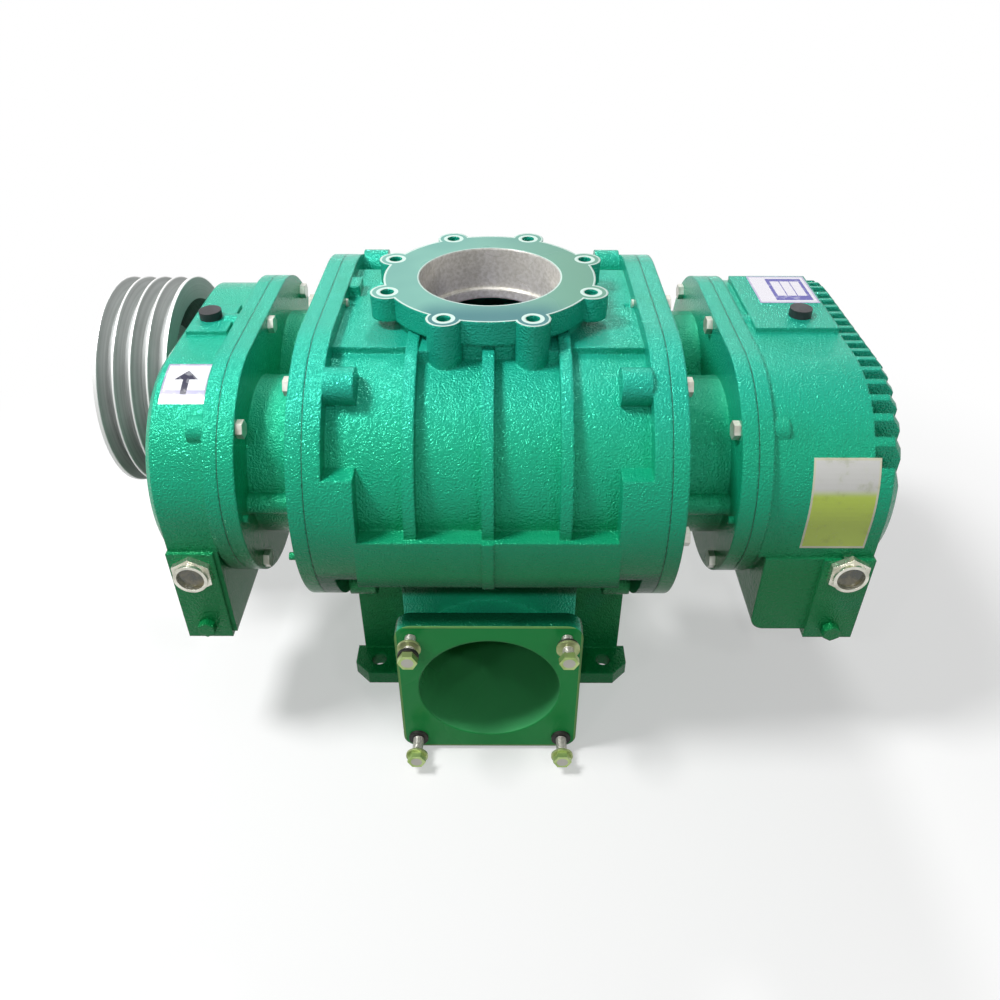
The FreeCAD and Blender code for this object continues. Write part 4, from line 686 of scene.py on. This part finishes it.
def sheet(name, ends, track, material):
    """A closed thin sheet between two ends along the pump, laid along the track, with its own
    flat map."""
    corners, runs, length = [], [], 0.0
    for index, ((back, up), (out_back, out_up)) in enumerate(track):
        if index:
            length += math.dist(track[index - 1][0], (back, up))
        runs.append(length)
        for lift in (-SINK, SHEET - SINK):
            corners += [(end, back + out_back * lift, up + out_up * lift) for end in ends]
    faces = []
    for low in range(0, 4 * (len(track) - 1), 4):
        high = low + 4
        faces += [(low, low + 1, high + 1, high), (low + 2, high + 2, high + 3, low + 3),
                  (low, high, high + 2, low + 2), (low + 1, low + 3, high + 3, high + 1)]
    last = 4 * (len(track) - 1)
    faces += [(0, 2, 3, 1), (last, last + 1, last + 3, last + 2)]
    mesh = bpy.data.meshes.new(name)
    mesh.from_pydata(corners, [], faces)
    flat = mesh.uv_layers.new(name="flat")
    for loop in mesh.loops:
        row, side = divmod(loop.vertex_index, 4)
        flat.data[loop.index].uv = (side % 2, 1.0 - runs[row] / length)
    mesh.materials.append(material)
    piece = bpy.data.objects.new(name, mesh)
    scene.collection.objects.link(piece)
    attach(piece, "casing_group")


def printed(name):
    """A sheet's finish, with the two directions of its flat map from 0 to 1."""
    finish = Finish(name)
    across, up, _ = finish.parts(finish.node("ShaderNodeUVMap", {"uv_map": "flat"}))
    return finish, across, up


def band(value, low, high):
    return (value > low) * (value < high)


def border(across, up, side, end):
    """The border of a sheet, side wide at its sides and end wide at its ends."""
    return 1.0 - band(across, side, 1.0 - side) * band(up, end, 1.0 - end)


NAMEPLATE_ENDS = (0.303, 0.370)
NAMEPLATE_TOP = COVER_AXIS[1] + 0.128
NAMEPLATE_BACK, NAMEPLATE_FRONT = 0.104, 0.031
UPWARD = (0, 1)
PLATE_PALE, PLATE_INK = (0.74, 0.72, 0.78), (0.10, 0.09, 0.38)
PLATE_RIM, PLATE_SCUFF = (0.46, 0.42, 0.60), (0.60, 0.60, 0.64)
FIELD_ACROSS, FIELD_UP = (0.30, 0.92), (0.10, 0.90)
CELLS_ACROSS, CELLS_UP = (0.36, 0.88), (0.26, 0.80)
BARS_ACROSS, BAR_WIDTH = 5.8, 0.10
PLATE_SCUFFS = (120.0, 4.0, 0.5, 0.7)

plate, across, up = printed("blank_nameplate")
field = band(across, *FIELD_ACROSS) * band(up, *FIELD_UP)
bars = band((across * BARS_ACROSS).of("FRACT"), 0.0, BAR_WIDTH)
cells = band(across, *CELLS_ACROSS) * band(up, *CELLS_UP) * (1.0 - bars)
scuff = plate.patches(*PLATE_SCUFFS)
colour = plate.mix(field * (1.0 - cells), PLATE_PALE, PLATE_INK)
colour = plate.mix(border(across, up, 0.03, 0.04), colour, PLATE_RIM)
colour = plate.mix(scuff * 0.4, colour, PLATE_SCUFF)
plate.set(Base_Color=colour, Metallic=0.25, Roughness=0.26 + 0.2 * scuff)
sheet("gear_end_nameplate", NAMEPLATE_ENDS,
      [((NAMEPLATE_BACK, NAMEPLATE_TOP), UPWARD), ((NAMEPLATE_FRONT, NAMEPLATE_TOP), UPWARD)],
      plate.data)

STICKER_ENDS = (0.313, 0.378)
STICKER_RADIUS = 0.123
STICKER_START = 33
STICKER_DROP = 0.030
FORWARD = (-1, 0)
STICKER_YELLOW, STICKER_PALE = (0.60, 0.78, 0.09), (0.78, 0.78, 0.75)
STICKER_RIM, STICKER_CREASE_SHADE = (0.80, 0.78, 0.60), (0.30, 0.36, 0.12)
HEADER_UP = (0.60, 0.70)
CREASES = (80.0, 5.0, 0.5, 0.72, 0.6)

notice, across, up = printed("blank_sticker")
crease = notice.patches(*CREASES)
colour = notice.mix(notice.ramp(up, *HEADER_UP), STICKER_YELLOW, STICKER_PALE)
colour = notice.mix(border(across, up, 0.03, 0.025), colour, STICKER_RIM)
# Painted shade: darker patches for the shade in the sticker's creases.
colour = notice.mix(crease * 0.35, colour, STICKER_CREASE_SHADE)
notice.set(Base_Color=colour, Roughness=0.25 + 0.2 * crease, Coat_Weight=0.3)
foot = (COVER_AXIS[0] - STICKER_RADIUS, COVER_AXIS[1] - STICKER_DROP)
sheet("gear_end_sticker", STICKER_ENDS,
      arc(STICKER_RADIUS, STICKER_START, 0) + [(foot, FORWARD)], notice.data)

ARROW_ENDS = (-0.322, -0.277)
ARROW_RADIUS = 0.119
ARROW_ANGLES = (83, 58)
LABEL_PALE, LABEL_BAND = (0.80, 0.80, 0.84), (0.20, 0.18, 0.42)
LABEL_RIM, LABEL_SCUFF = (0.34, 0.32, 0.46), (0.66, 0.68, 0.70)
ARROW_INK = (0.02, 0.02, 0.05)
SHAFT_FOOT, HEAD_FOOT, ARROW_TIP = 0.20, 0.56, 0.80
HEAD_SLOPE, SHAFT_HALF = 1.1, 0.07
BAND_UP = (0.05, 0.30)
LABEL_SCUFFS = (150.0, 4.0, 0.5, 0.7)

arrow, across, up = printed("arrow_label")
aside = abs(across - 0.5)
head = band(up, HEAD_FOOT, ARROW_TIP) * (aside < (ARROW_TIP - up) * HEAD_SLOPE)
shaft = band(up, SHAFT_FOOT, HEAD_FOOT) * (aside < SHAFT_HALF)
edge = border(across, up, 0.04, 0.05)
low_band = band(up, *BAND_UP) * (1.0 - edge)
wear = arrow.patches(*LABEL_SCUFFS)
colour = arrow.mix(low_band * 0.7, LABEL_PALE, LABEL_BAND)
colour = arrow.mix(edge, colour, LABEL_RIM)
colour = arrow.mix(head.at_least(shaft), colour, ARROW_INK)
colour = arrow.mix(wear * 0.3, colour, LABEL_SCUFF)
arrow.set(Base_Color=colour, Roughness=0.22 + 0.2 * wear, Coat_Weight=0.3)
sheet("pulley_end_arrow_label", ARROW_ENDS, arc(ARROW_RADIUS, *ARROW_ANGLES), arrow.data)
